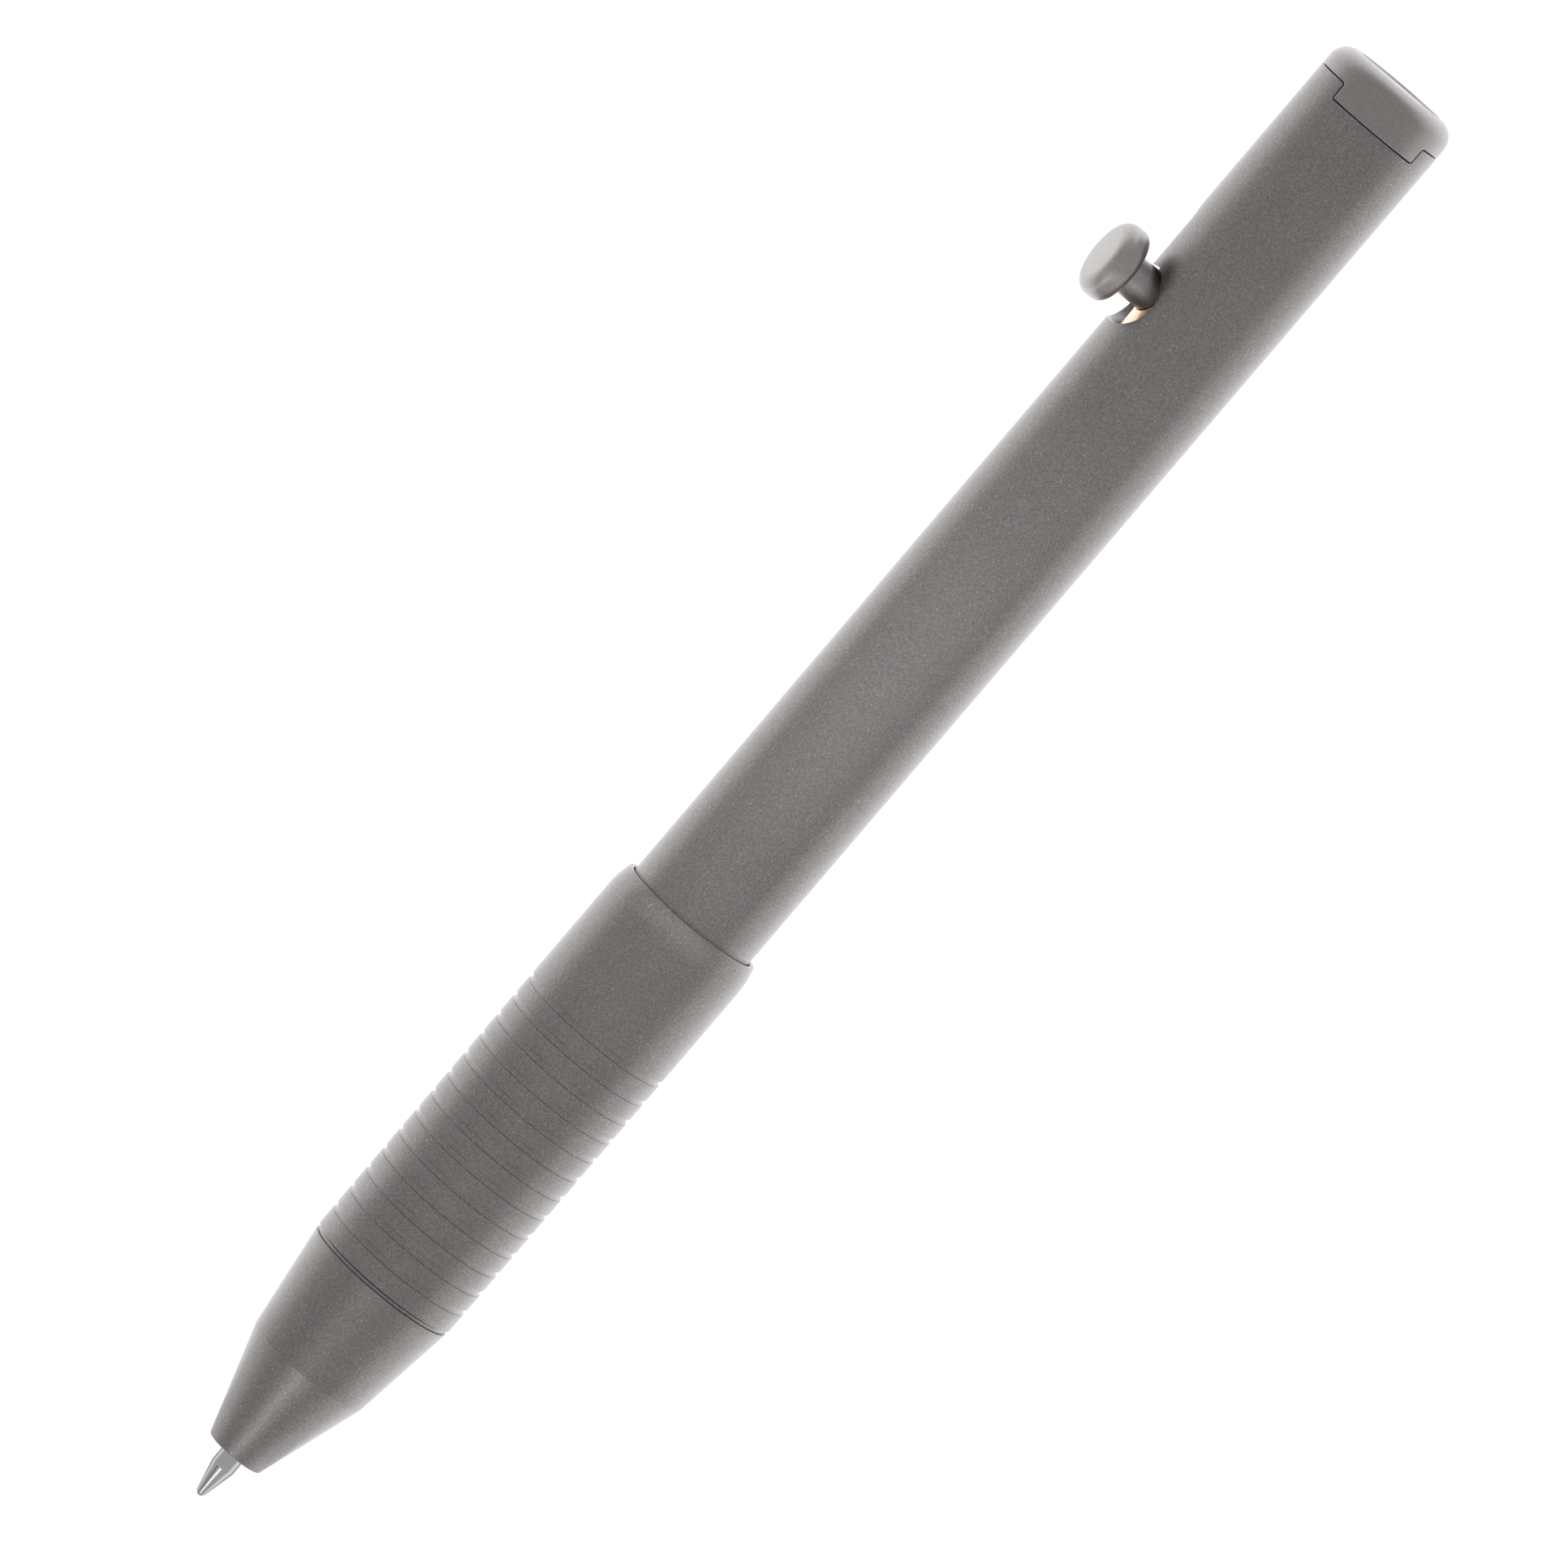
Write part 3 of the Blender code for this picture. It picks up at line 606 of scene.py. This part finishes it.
shape = bmesh.new()
skin_line, wall_top = soft_edge(shape, cap_line, seam_edge, barrel_radius, barrel_radius, closed=False)
add_band(shape, wall_top, wrap(shape, cap_line, plug_radius, barrel_radius), closed=False)
plug_start = ring_line(seam + tab_depth + plug_cell, barrel_radius)
fill_sheet(shape, barrel_radius, barrel_radius, ring_line(skin_rear, barrel_radius), skin_line,
           cell=skin_cell)
fill_sheet(shape, plug_radius, barrel_radius, cap_line, plug_start, cell=plug_cell)
edge_steps = 16
edge_arc = []
for step in range(edge_steps + 1):
    turn = math.pi / 2 * step / edge_steps
    edge_arc.append((skin_rear - cap_edge_radius * math.sin(turn),
                     barrel_radius - cap_edge_radius * (1 - math.cos(turn))))
dish_radius = edge_arc[-1][1] - rim_land
add_turned(shape, [*edge_arc, (cap_end, dish_radius), (0.0, dish_radius - dish_depth), (0.0, 0.0)],
           closed=False)
add_turned(shape, [
    (plug_start[0].x, plug_radius), (groove_rear, plug_radius), (groove_rear, groove_radius),
    (groove_front, groove_radius), (groove_front, plug_radius),
    (cap_spigot_front - 2 * dish_depth, plug_radius), (cap_spigot_front, plug_radius - 2 * dish_depth),
    (cap_spigot_front, 0.0),
], closed=False)
cap = stand_in(finish_mesh("cap", shape), "shell", "titanium", "end_cap")

# %% [markdown]
# ## The bolt's knob
# The knob is a round flat button on a stem, turned in one piece with soft edges for the thumb. Its
# profile is drawn on the pen's own axis like the others and then swung to where the bolt stands,
# which is easier to read than a profile at an angle.

# %% Turn the knob and swing it into place
knob_low, knob_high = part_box("bolt_knob")
knob_radius = (knob_high.x - knob_low.x) / 2
knob_back = knob_height - 2.35 * MM
front_edge = 1.05 * MM
back_edge = 0.95 * MM
stem_root = 0.30 * MM
stem_radius = 1.675 * MM
screw_radius = 1.20 * MM
spotface = slider_radius - 0.35 * MM
stem_shoulder = spotface + 0.10 * MM
screw_end = stem_shoulder - 3.0 * MM
screw_chamfer = 0.30 * MM
knob_steps = 12


def swing(shape):
    """Swing a shape from the pen's axis to the bolt's."""
    outward = on_round(0.0, 1.0, bolt_angle)
    along = Vector((1.0, 0.0, 0.0))
    turn = Matrix((outward, along, outward.cross(along))).transposed().to_4x4()
    place_at = Matrix.Translation((bolt_x, 0.0, 0.0))
    bmesh.ops.transform(shape, matrix=place_at @ turn, verts=shape.verts)


knob_corners = [
    (knob_height, 0.0, 0.0),
    (knob_height, knob_radius, front_edge),
    (knob_back, knob_radius, back_edge),
    (knob_back, stem_radius, stem_root),
    (stem_shoulder, stem_radius, 0.0),
    (stem_shoulder, screw_radius, 0.0),
    (screw_end, screw_radius, screw_chamfer),
    (screw_end, 0.0, 0.0),
]
shape = bmesh.new()
add_turned(shape, soften(knob_corners, closed=False, steps=knob_steps), closed=False)
swing(shape)
knob = stand_in(finish_mesh("knob", shape), "bolt", "titanium", "bolt_knob")

# %% [markdown]
# ## The bolt's slider
# The slider under the knob is copper. The stem's shoulder stands on a flat spotface in it, and its
# screw goes into a tapped hole. Both cut a round surface from the side, and both are simple
# cylinders, so here a Boolean is the right tool.

# %% Turn the slider and cut the stem's seat
socket_radius = 3.10 * MM
socket_depth = 2.5 * MM
slider_edge = 0.25 * MM
hole_play = 0.05 * MM
seat_play = 0.10 * MM
socket_floor = slider_front - socket_depth
seat_radius = stem_radius + seat_play
hole_radius = screw_radius + hole_play
hole_floor = screw_end - seat_play
slider_corners = [
    (socket_floor, 0.0, 0.0),
    (socket_floor, socket_radius, 0.0),
    (slider_front, socket_radius, slider_edge),
    (slider_front, slider_radius, slider_edge),
    (slider_rear, slider_radius, slider_edge),
    (slider_rear, 0.0, 0.0),
]
shape = bmesh.new()
add_turned(shape, soften(slider_corners, closed=False), closed=False)
slider_blank = finish_mesh("slider", shape)
seat_profile = [
    (barrel_radius, 0.0),
    (barrel_radius, seat_radius),
    (spotface, seat_radius),
    (spotface, hole_radius),
    (hole_floor, hole_radius),
    (hole_floor, 0.0),
]
shape = bmesh.new()
add_turned(shape, seat_profile, closed=False)
swing(shape)
stem_seat = finish_mesh("stem_seat", shape)


def cut_away(piece, cutter):
    """Cut one mesh from another for good, and delete the cutter."""
    piece.modifiers.clear()
    cutter.modifiers.clear()
    step = piece.modifiers.new("cut", "BOOLEAN")
    step.object = cutter
    bpy.context.view_layer.update()
    evaluated = piece.evaluated_get(bpy.context.evaluated_depsgraph_get())
    mesh = bpy.data.meshes.new_from_object(evaluated)
    piece.modifiers.clear()
    piece.data = mesh
    bpy.data.objects.remove(cutter, do_unlink=True)
    shade_evenly(piece, weight=50)
    print(f"{piece.name}: {len(mesh.polygons)} faces after the cut")
    return piece


slider = stand_in(cut_away(slider_blank, stem_seat), "bolt", "copper", "bolt_slider")

# %% [markdown]
# ## The refill's point
# A bright steel cone on a short cylinder, with a hard ball held in its lip. At this size the ball
# and the rolled lip are only a few pixels, but they give the tip its dark rounded end. The socket
# is a true hollow round the ball, so the ball can roll in it without touching.

# %% Turn the point and its ball
ball_middle = (ball_rear + ball_front) / 2
socket = ball_radius + 0.02 * MM
lip_wall = 0.03 * MM
lip_length = 0.12 * MM
cone_rear = ball_front - 2.90 * MM
point_rear = ball_front - 10.0 * MM
tail_radius_of_point = 0.80 * MM
ink_channel = 0.25 * MM
lip_turn = math.acos((point_lip - ball_middle) / socket)
seat_turn = math.pi - math.asin(ink_channel / socket)
socket_steps = 14
socket_arc = []
for step in range(socket_steps + 1):
    turn = seat_turn + (lip_turn - seat_turn) * step / socket_steps
    socket_arc.append((ball_middle + socket * math.cos(turn), socket * math.sin(turn)))
lip_radius = socket_arc[-1][1] + lip_wall
point_corners = [
    (point_lip, lip_radius, 0.0),
    (point_lip - lip_length, lip_radius + lip_wall, burr),
    (cone_rear, point_radius, 2 * burr),
    (point_rear, point_radius, burr),
    (point_rear, tail_radius_of_point, 0.0),
    (point_tail, tail_radius_of_point, burr),
    (point_tail, ink_channel, 0.0),
]
shape = bmesh.new()
add_turned(shape, soften(point_corners, closed=False) + socket_arc)
point = stand_in(finish_mesh("point", shape), "refill", "steel", "refill_point")

ball_steps = 24
ball_ring_steps = 48
half_circle = []
for step in range(ball_steps + 1):
    turn = math.pi * step / ball_steps
    half_circle.append((ball_middle + ball_radius * math.cos(turn), ball_radius * math.sin(turn)))
shape = bmesh.new()
add_turned(shape, half_circle, steps=ball_ring_steps, closed=False)
ball = stand_in(finish_mesh("ball", shape), "ball", "carbide", "writing_ball")

# %% [markdown]
# ## The return spring
# A short coil of steel wire between the nose's shoulder and the refill's collar. Its end turns lie
# close together, so that it stands square. It is out of sight, but it has to get shorter when the
# bolt goes forward, or the collar would run through it. A curve with a round bevel would be the
# quick way to make it, but only a mesh can be squashed. So it is wound ring by ring along a helix,
# and the share of its length that is left when the bolt has travelled is worked out.

# %% Work out the spring's turns
wire = 0.42 * MM
coil_turns = 9
close_turns = 1.0
close_pitch = 1.05 * wire
coil_steps = 40
wire_steps = 12
spring_length = spring_front - spring_rear
coil_radius = outer_radius("return_spring") - wire / 2
open_length = spring_length - wire - 2 * close_turns * close_pitch
open_pitch = open_length / (coil_turns - 2 * close_turns)


def coil_x(turn):
    """Where the middle of the wire is along the pen after this many turns."""
    close = min(turn, close_turns) + max(turn - (coil_turns - close_turns), 0.0)
    return spring_rear + wire / 2 + close * close_pitch + (turn - close) * open_pitch


print(f"spring {spring_length / MM:.2f} mm long, its open turns {open_pitch / MM:.2f} mm apart")

# %% Sweep the wire and work out the bolt's travel
shape = bmesh.new()
rings = []
for step in range(coil_turns * coil_steps + 1):
    turn = step / coil_steps
    ring = []
    for side in range(wire_steps):
        round_wire = 2 * math.pi * side / wire_steps
        x = coil_x(turn) + wire / 2 * math.sin(round_wire)
        radius = coil_radius + wire / 2 * math.cos(round_wire)
        ring.append(shape.verts.new(on_round(x, radius, 2 * math.pi * turn)))
    rings.append(ring)
for first, second in zip(rings, rings[1:]):
    add_band(shape, first, second)
shape.faces.new(rings[0])
shape.faces.new(rings[-1])
spring = stand_in(finish_mesh("spring", shape), "shell", "steel", "return_spring")

bolt_travel = named(frame["joints"], "bolt_push")["range_m"][1]
pushed_share = 1.0 - bolt_travel / spring_length
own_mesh(spring)
print(f"pushed in by {bolt_travel / MM:.2f} mm, the spring keeps {pushed_share:.3f} of its length")

# %% [markdown]
# ## Shader maths that reads like maths
# A finish is mostly arithmetic on noise: a bit of this, less of that, squeezed into a range. It
# could be wired node by node, but then the sums are hard to see. One small class wraps a socket,
# so that `0.5 + 0.1 * grain` adds the Math nodes by itself.

# %% A class for shader expressions


class Channel:
    """A number or a vector that flows through a node tree."""

    def __init__(self, tree, socket):
        self.tree = tree
        self.socket = socket

    def node(self, kind, settings=None, inputs=None, output=0):
        """Add a node: its settings first, then the values or links of its sockets."""
        node = self.tree.nodes.new(kind)
        for name, value in (settings or {}).items():
            setattr(node, name, value)
        for name, value in (inputs or {}).items():
            if isinstance(value, Channel):
                self.tree.links.new(value.socket, node.inputs[name])
            else:
                node.inputs[name].default_value = value
        return Channel(self.tree, node.outputs[output])

    def maths(self, operation, first, second):
        """One Math node on two numbers or channels."""
        return self.node("ShaderNodeMath", {"operation": operation}, {0: first, 1: second})

    def __add__(self, other):
        return self.maths("ADD", self, other)

    __radd__ = __add__

    def __mul__(self, other):
        return self.maths("MULTIPLY", self, other)

    __rmul__ = __mul__

    def __sub__(self, other):
        return self.maths("SUBTRACT", self, other)

    def __rsub__(self, other):
        return self.maths("SUBTRACT", other, self)

    def __truediv__(self, other):
        return self.maths("DIVIDE", self, other)

    def larger(self, other):
        """The larger of two values."""
        return self.maths("MAXIMUM", self, other)

    def part(self, axis):
        """One coordinate of a vector."""
        return self.node("ShaderNodeSeparateXYZ", {}, {"Vector": self}, axis)

    def between(self, low, high):
        """0 below low, 1 above high, and a smooth slope in between."""
        settings = {"interpolation_type": "SMOOTHSTEP"}
        inputs = {"Value": self, "From Min": low, "From Max": high}
        return self.node("ShaderNodeMapRange", settings, inputs)

    def noise(self, size, detail=2.0, roughness=0.5):
        """Soft random patches about this many metres across, from 0 to 1."""
        inputs = {"Vector": self, "Scale": 1 / size, "Detail": detail, "Roughness": roughness}
        return self.node("ShaderNodeTexNoise", {"noise_dimensions": "3D"}, inputs)

    def blend(self, dark, light):
        """Mix two colours by this mask."""
        inputs = {"Factor": self, "A": dark, "B": light}
        return self.node("ShaderNodeMix", {"data_type": "RGBA"}, inputs, "Result")


print("a channel knows", ", ".join(name for name in vars(Channel) if not name.startswith("_")))

# %% [markdown]
# ## Starting a material
# Every finish starts the same way: a Principled shader, the values that are the same all over, and
# the place on the object, from which the noise is made. Object coordinates are used, because they
# stay put on a part that moves and need no unwrapping.

# %% Helpers that start a material


def new_finish(name, **constants):
    """A material with a Principled shader, its constants, and object coordinates to start from."""
    material = bpy.data.materials.new(name)
    material.use_nodes = True
    tree = material.node_tree
    shader = tree.nodes["Principled BSDF"]
    for socket, value in constants.items():
        shader.inputs[socket.replace("_", " ")].default_value = value
    place = tree.nodes.new("ShaderNodeTexCoord").outputs["Object"]
    return material, shader, Channel(tree, place)


def feed(shader, socket, channel):
    """Link a channel to one of the shader's sockets."""
    channel.tree.links.new(channel.socket, shader.inputs[socket])


def bumpy(height, distance):
    """Turn a height from 0 to 1 into a normal."""
    return height.node("ShaderNodeBump", {}, {"Height": height, "Distance": distance}, "Normal")


WHITE = (1.0, 1.0, 1.0, 1.0)
BLACK = (0.0, 0.0, 0.0, 1.0)
print("materials so far:", len(bpy.data.materials))

# %% [markdown]
# ## Blasted titanium
# Beads of glass leave craters between a tenth and a fifth of a millimetre wide, so the metal looks
# soft and a little speckled, and has no streaks from the lathe. A fine noise gives the craters
# their relief and the colour its speckle, and a finer one paints a few lighter flecks into the
# colour, as painted glints for craters that catch the light. A broad, weak noise keeps long
# stretches from looking like one flat tint, as handled titanium isn't quite even. A rough clear coat
# stands for the soft sheen over the metal. The cap is blasted a little finer and lighter than the
# tube. The knob is lighter still, a painted highlight for the bright reflection on its face.

# %% Blasted titanium
crater_size = 0.16 * MM
crater_depth = 0.008 * MM
painted_glint_size = 0.13 * MM
haze_size = 6.0 * MM


def blasted(name, dark, light, painted_glint_colour):
    """Blasted titanium whose speckle runs between two greys, with rarer glints painted into the colour."""
    material, shader, place = new_finish(name, Metallic=1.0, Coat_Weight=1.0, Coat_Roughness=0.42)
    craters = place.noise(crater_size, detail=3.0, roughness=0.6)
    speckle = craters.between(0.32, 0.68)
    # Painted glints: rare lighter flecks in the colour stand in for craters that catch the light.
    painted_glint_mask = place.noise(painted_glint_size, detail=0.0).between(0.66, 0.82)
    haze = place.noise(haze_size, detail=1.0)
    mottle = (0.65 * speckle + 0.2 * haze).blend(dark, light)
    feed(shader, "Base Color", painted_glint_mask.blend(mottle, painted_glint_colour))
    feed(shader, "Roughness", 0.36 + 0.05 * haze + 0.03 * speckle)
    feed(shader, "Normal", bumpy(craters, crater_depth))
    return material


titanium = blasted("blasted_titanium", (0.192, 0.179, 0.177, 1.0), (0.347, 0.325, 0.322, 1.0),
                   (0.430, 0.408, 0.405, 1.0))
cap_titanium = blasted("fine_titanium", (0.275, 0.261, 0.257, 1.0), (0.375, 0.356, 0.351, 1.0),
                       (0.400, 0.380, 0.375, 1.0))
# The knob's lighter greys are a painted highlight for the bright reflection on its face.
knob_titanium = blasted("knob_titanium_painted_highlight", (0.345, 0.328, 0.324, 1.0), (0.455, 0.434, 0.430, 1.0),
                        (0.500, 0.478, 0.473, 1.0))
for piece, finish in ((tube, titanium), (sleeve, titanium), (nose, titanium),
                      (cap, cap_titanium), (knob, knob_titanium)):
    piece.data.materials.append(finish)
print("blasted:", titanium.name, cap_titanium.name, knob_titanium.name)

# %% [markdown]
# ## Turned copper and steel
# Copper and steel are turned and left bright. Their only relief is the fine thread of the tool's
# feed, which runs round the part, so its noise changes along the pen and not round it. The steel
# point's outline gets a thin dark line of painted shade: the shader's tint for grazing angles
# darkens it in place of the dark reflection there, so the lights can stay as they are.

# %% Turned copper and steel
feed_mark = 0.05 * MM
feed_depth = 0.0006 * MM
stain_size = 1.6 * MM


def turned_metal(name, dark, light, smooth, dull, painted_edge_shade=1.0):
    """Bright metal with faint rings from the lathe. An edge tint below 1 paints shade on its grazing edges."""
    material, shader, place = new_finish(name, Metallic=1.0, Specular_Tint=(painted_edge_shade, painted_edge_shade, painted_edge_shade, 1.0))
    along = place.node("ShaderNodeCombineXYZ", {}, {"X": place.part("X")})
    rings = along.noise(feed_mark, detail=2.0)
    stain = place.noise(stain_size, detail=3.0)
    feed(shader, "Base Color", (0.6 * stain + 0.4 * rings).blend(dark, light))
    feed(shader, "Roughness", smooth + (dull - smooth) * stain)
    feed(shader, "Normal", bumpy(rings, feed_depth))
    return material


copper = turned_metal("turned_copper", (0.93, 0.60, 0.44, 1.0), (0.98, 0.72, 0.57, 1.0), 0.16, 0.28)
# The steel's edge tint of 0.05 paints shade along its grazing edges.
steel = turned_metal("turned_steel", (0.56, 0.56, 0.57, 1.0), (0.68, 0.68, 0.68, 1.0), 0.10, 0.20,
                     painted_edge_shade=0.05)
carbide = turned_metal("ground_carbide", (0.30, 0.30, 0.31, 1.0), (0.42, 0.42, 0.43, 1.0), 0.18, 0.30)
for piece, finish in ((slider, copper), (point, steel), (ball, carbide), (spring, steel)):
    piece.data.materials.append(finish)
print("turned:", copper.name, steel.name, carbide.name)

# %% [markdown]
# ## Plastics, ink, grease and rubber
# The refill's tube is clear plastic, and its holder and end plug are white. Inside are gel ink and
# the grease that follows it, and two rubber rings seal and steady the pen. They are all out of
# sight here, so one simple recipe with clouds of colour and a fine grain does for all of them.

# %% Plastics, ink, grease and rubber
cloud_size = 4.0 * MM
grain_size = 0.3 * MM
grain_depth = 0.002 * MM


def moulded(name, dark, light, smooth, dull, **constants):
    """A plastic, rubber or fluid with uneven colour and gloss."""
    material, shader, place = new_finish(name, **constants)
    cloud = place.noise(cloud_size, detail=3.0)
    fine = place.noise(grain_size, detail=2.0)
    feed(shader, "Base Color", (0.7 * cloud + 0.3 * fine).blend(dark, light))
    feed(shader, "Roughness", smooth + (dull - smooth) * fine)
    feed(shader, "Normal", bumpy(fine, grain_depth))
    return material


clear_plastic = moulded("clear_tube", (0.74, 0.77, 0.77, 1.0), (0.84, 0.86, 0.86, 1.0), 0.12, 0.22,
                        Transmission_Weight=0.6, IOR=1.49)
white_plastic = moulded("white_plastic", (0.76, 0.76, 0.74, 1.0), (0.84, 0.84, 0.82, 1.0), 0.35, 0.5)
ink = moulded("gel_ink", (0.006, 0.006, 0.010, 1.0), (0.018, 0.018, 0.026, 1.0), 0.08, 0.15)
grease = moulded("follower_grease", (0.66, 0.58, 0.34, 1.0), (0.78, 0.70, 0.46, 1.0), 0.15, 0.3)
rubber = moulded("seal_rubber", (0.014, 0.014, 0.014, 1.0), (0.030, 0.030, 0.029, 1.0), 0.5, 0.7)
print("all materials:", len(bpy.data.materials))

# %% Dress the solids that keep their own shape
finishes = {
    "refill_tube": clear_plastic,
    "refill_holder": white_plastic,
    "refill_end_plug": white_plastic,
    "ink_column": ink,
    "ink_follower": grease,
    "cap_o_ring": rubber,
    "nose_o_ring": rubber,
}
for name, finish in finishes.items():
    solid = nodes[name]
    solid.data.materials.clear()
    solid.data.materials.append(finish)
print("dressed", len(finishes), "solids")

# %% [markdown]
# ## The camera
# The photo is taken from nearly overhead and from far off, a little from the cap's side, with a
# long lens. The pen's axis runs at 49.5 degrees across the picture. So the camera is built from
# the axis: first the direction to look from, then the picture's right and up.

# %% Place the camera
tilt_to_cap = math.radians(6.2)
tilt_round_pen = math.radians(81.4)
axis_in_picture = math.radians(49.53)
lens = 305.0
sensor = 36.0
frame_width = 120.4 * MM
pen_middle = 71.25 * MM
picture_shift = 1.225 * MM

towards = Vector((-math.sin(tilt_to_cap),
                  math.cos(tilt_to_cap) * math.cos(tilt_round_pen),
                  math.cos(tilt_to_cap) * math.sin(tilt_round_pen)))
along_pen = Vector((-1.0, 0.0, 0.0))
along_pen = (along_pen - towards * along_pen.dot(towards)).normalized()
across_pen = towards.cross(along_pen)
right = along_pen * math.cos(axis_in_picture) - across_pen * math.sin(axis_in_picture)
up = along_pen * math.sin(axis_in_picture) + across_pen * math.cos(axis_in_picture)
target = Vector((pen_middle, 0.0, 0.0)) + across_pen * picture_shift

camera = bpy.data.objects.new("camera", bpy.data.cameras.new("camera"))
bpy.context.scene.collection.objects.link(camera)
camera.data.lens = lens
camera.data.sensor_width = sensor
camera.data.clip_start = 10.0 * MM
turn = Matrix((right, up, towards)).transposed().to_4x4()
distance = frame_width * lens / sensor
camera.matrix_world = Matrix.Translation(target + towards * distance) @ turn
bpy.context.scene.camera = camera
print("camera at", [round(value, 3) for value in camera.location])

# %% [markdown]
# ## The white sheet
# The pen lies on a white sheet, which the metal's sides mirror. So the sheet gives off some light
# of its own, but only to the camera and in reflections, which keeps the pen's soft shadow. In
# reflections it is darker far off to both sides. Past the nose it carries a painted shadow of the
# pen's tip, seen only in reflections, where the refill's point would otherwise be white on white.

# %% Lay the white sheet
floor_size = 3.0
floor_level = -grip_radius
sheet_colour = (0.8, 0.8, 0.8, 1.0)
sheet_glow = 1.08
sheet_in_picture = 0.75
painted_shadow_at_point = 0.45
darker_far_side = 0.28
darker_near_side = 0.45
fade_start = 10.0 * MM
fade_end = 26.0 * MM
fade_at_point = 1.0 * MM
floor_mesh = bpy.data.meshes.new("sheet")
half = floor_size / 2
floor_corners = [(-half, -half, floor_level), (half, -half, floor_level),
                 (half, half, floor_level), (-half, half, floor_level)]
floor_mesh.from_pydata(floor_corners, [], [(0, 1, 2, 3)])
floor = bpy.data.objects.new("sheet", floor_mesh)
bpy.context.scene.collection.objects.link(floor)

sheet, shader, place = new_finish("white_sheet", Roughness=1.0, Specular_IOR_Level=0.0)
shader.inputs["Base Color"].default_value = sheet_colour
shader.inputs["Emission Strength"].default_value = sheet_glow
from_camera, from_gloss, from_glass = [
    place.node("ShaderNodeLightPath", {}, {}, kind)
    for kind in ("Is Camera Ray", "Is Glossy Ray", "Is Transmission Ray")]
# Past the nose the sheet is darker in reflections: a painted shadow of the pen's tip.
beside_point = place.part("X").between(nose_front - fade_at_point, nose_front + fade_at_point)
far_side = (-1.0 * place.part("Y")).between(fade_start, fade_end)
near_side = place.part("Y").between(fade_start, fade_end)
to_the_sides = darker_far_side * far_side + darker_near_side * near_side
darker = (painted_shadow_at_point * beside_point).larger(to_the_sides)
mirrored = from_gloss.larger(from_glass) * (1.0 - darker)
seen = mirrored.larger(sheet_in_picture * from_camera)
feed(shader, "Emission Color", seen.blend(BLACK, WHITE))
floor_mesh.materials.append(sheet)
print(f"sheet {floor_size:.0f} m wide at {floor_level / MM:.2f} mm")

# %% [markdown]
# ## The soft ceiling
# The room is one wide soft ceiling, a middle grey overhead and nearly white at the horizon, a bit
# less so on the near side. That makes the metal grey in the middle and white along its sides. A
# dark flag hangs in it towards the writing end, and draws the dark line beside the streak on the
# refill's point. The world's own light does all this without a lamp, as nothing is softer than a
# gradient all round. The camera itself sees white.

# %% Hang the soft ceiling
overhead = 0.49
horizon_far = 0.94
horizon_drop = 0.20
drop_range = (-0.3, 0.6)
ceiling_edge = 0.24
lowest = 0.01
flag_edge = 0.04
flag_lean = (0.42, 0.62)
flag_tilt = (math.tan(math.radians(26.0)), math.tan(math.radians(40.0)))
flag_loss = 0.75
world = bpy.data.worlds.new("soft_ceiling")
world.use_nodes = True
bpy.context.scene.world = world
sky = world.node_tree
direction = Channel(sky, sky.nodes.new("ShaderNodeTexCoord").outputs["Generated"])
along, across, height = [direction.part(axis) for axis in "XYZ"]
horizon = horizon_far - horizon_drop * across.between(*drop_range)
ceiling = overhead + (horizon - overhead) * (1.0 - height.between(0.0, ceiling_edge))
tilt = (-1.0 * across) / height.larger(lowest)
flag = 1.0
for value, (low, high) in ((along, flag_lean), (tilt, flag_tilt)):
    past_low = value.between(low - flag_edge, low + flag_edge)
    past_high = value.between(high - flag_edge, high + flag_edge)
    flag = flag * (past_low - past_high)
ceiling = ceiling * (1.0 - flag_loss * flag)
strength = ceiling.larger(direction.node("ShaderNodeLightPath", {}, {}, "Is Camera Ray"))
background = sky.nodes["Background"]
background.inputs["Color"].default_value = WHITE
feed(background, "Strength", strength)
print("the ceiling has", len(sky.nodes), "nodes")

# %% [markdown]
# ## Two lamps
# A softbox towards the writing end adds the streak on the cones and the point. A faint strip hangs
# across the barrel and makes its middle a little brighter than its ends. Both are area lamps,
# because metal shows the shape of what lights it. Each is set by its radiance, so that it can be
# made larger without getting brighter in the metal.

# %% Hang the softbox
softbox_distance = 0.6
softbox_lean = math.radians(48.0)
softbox_turn = math.radians(-9.0)
softbox_size = (0.30, 0.19)
softbox_radiance = 1.3


def hang_lamp(name, size, radiance, place_at):
    """Hang a rectangular area lamp of this size and radiance."""
    lamp = bpy.data.lights.new(name, "AREA")
    lamp.shape = "RECTANGLE"
    lamp.size, lamp.size_y = size
    lamp.energy = radiance * math.pi * size[0] * size[1]
    holder = bpy.data.objects.new(name, lamp)
    bpy.context.scene.collection.objects.link(holder)
    holder.matrix_world = place_at
    middle = [round(value, 3) for value in place_at.translation]
    print(f"{name}: {lamp.energy:.4f} W at {middle}")


lean = Matrix.Rotation(softbox_turn, 4, "X") @ Matrix.Rotation(softbox_lean, 4, "Y")
hang = Matrix.Translation((0.0, 0.0, softbox_distance))
hang_lamp("softbox", softbox_size, softbox_radiance,
          Matrix.Translation((nose_base, 0.0, 0.0)) @ lean @ hang)

# %% Hang a faint strip over the barrel
strip_x = 66.0 * MM
strip_height = 60.0 * MM
strip_size = (0.03, 0.30)
strip_radiance = 0.45
hang_lamp("strip", strip_size, strip_radiance, Matrix.Translation((strip_x, 0.0, strip_height)))

# %% [markdown]
# ## Finish
# The view stays on Standard, so a colour comes out as it is written.

# %% Finish
bpy.context.scene.view_settings.view_transform = "Standard"
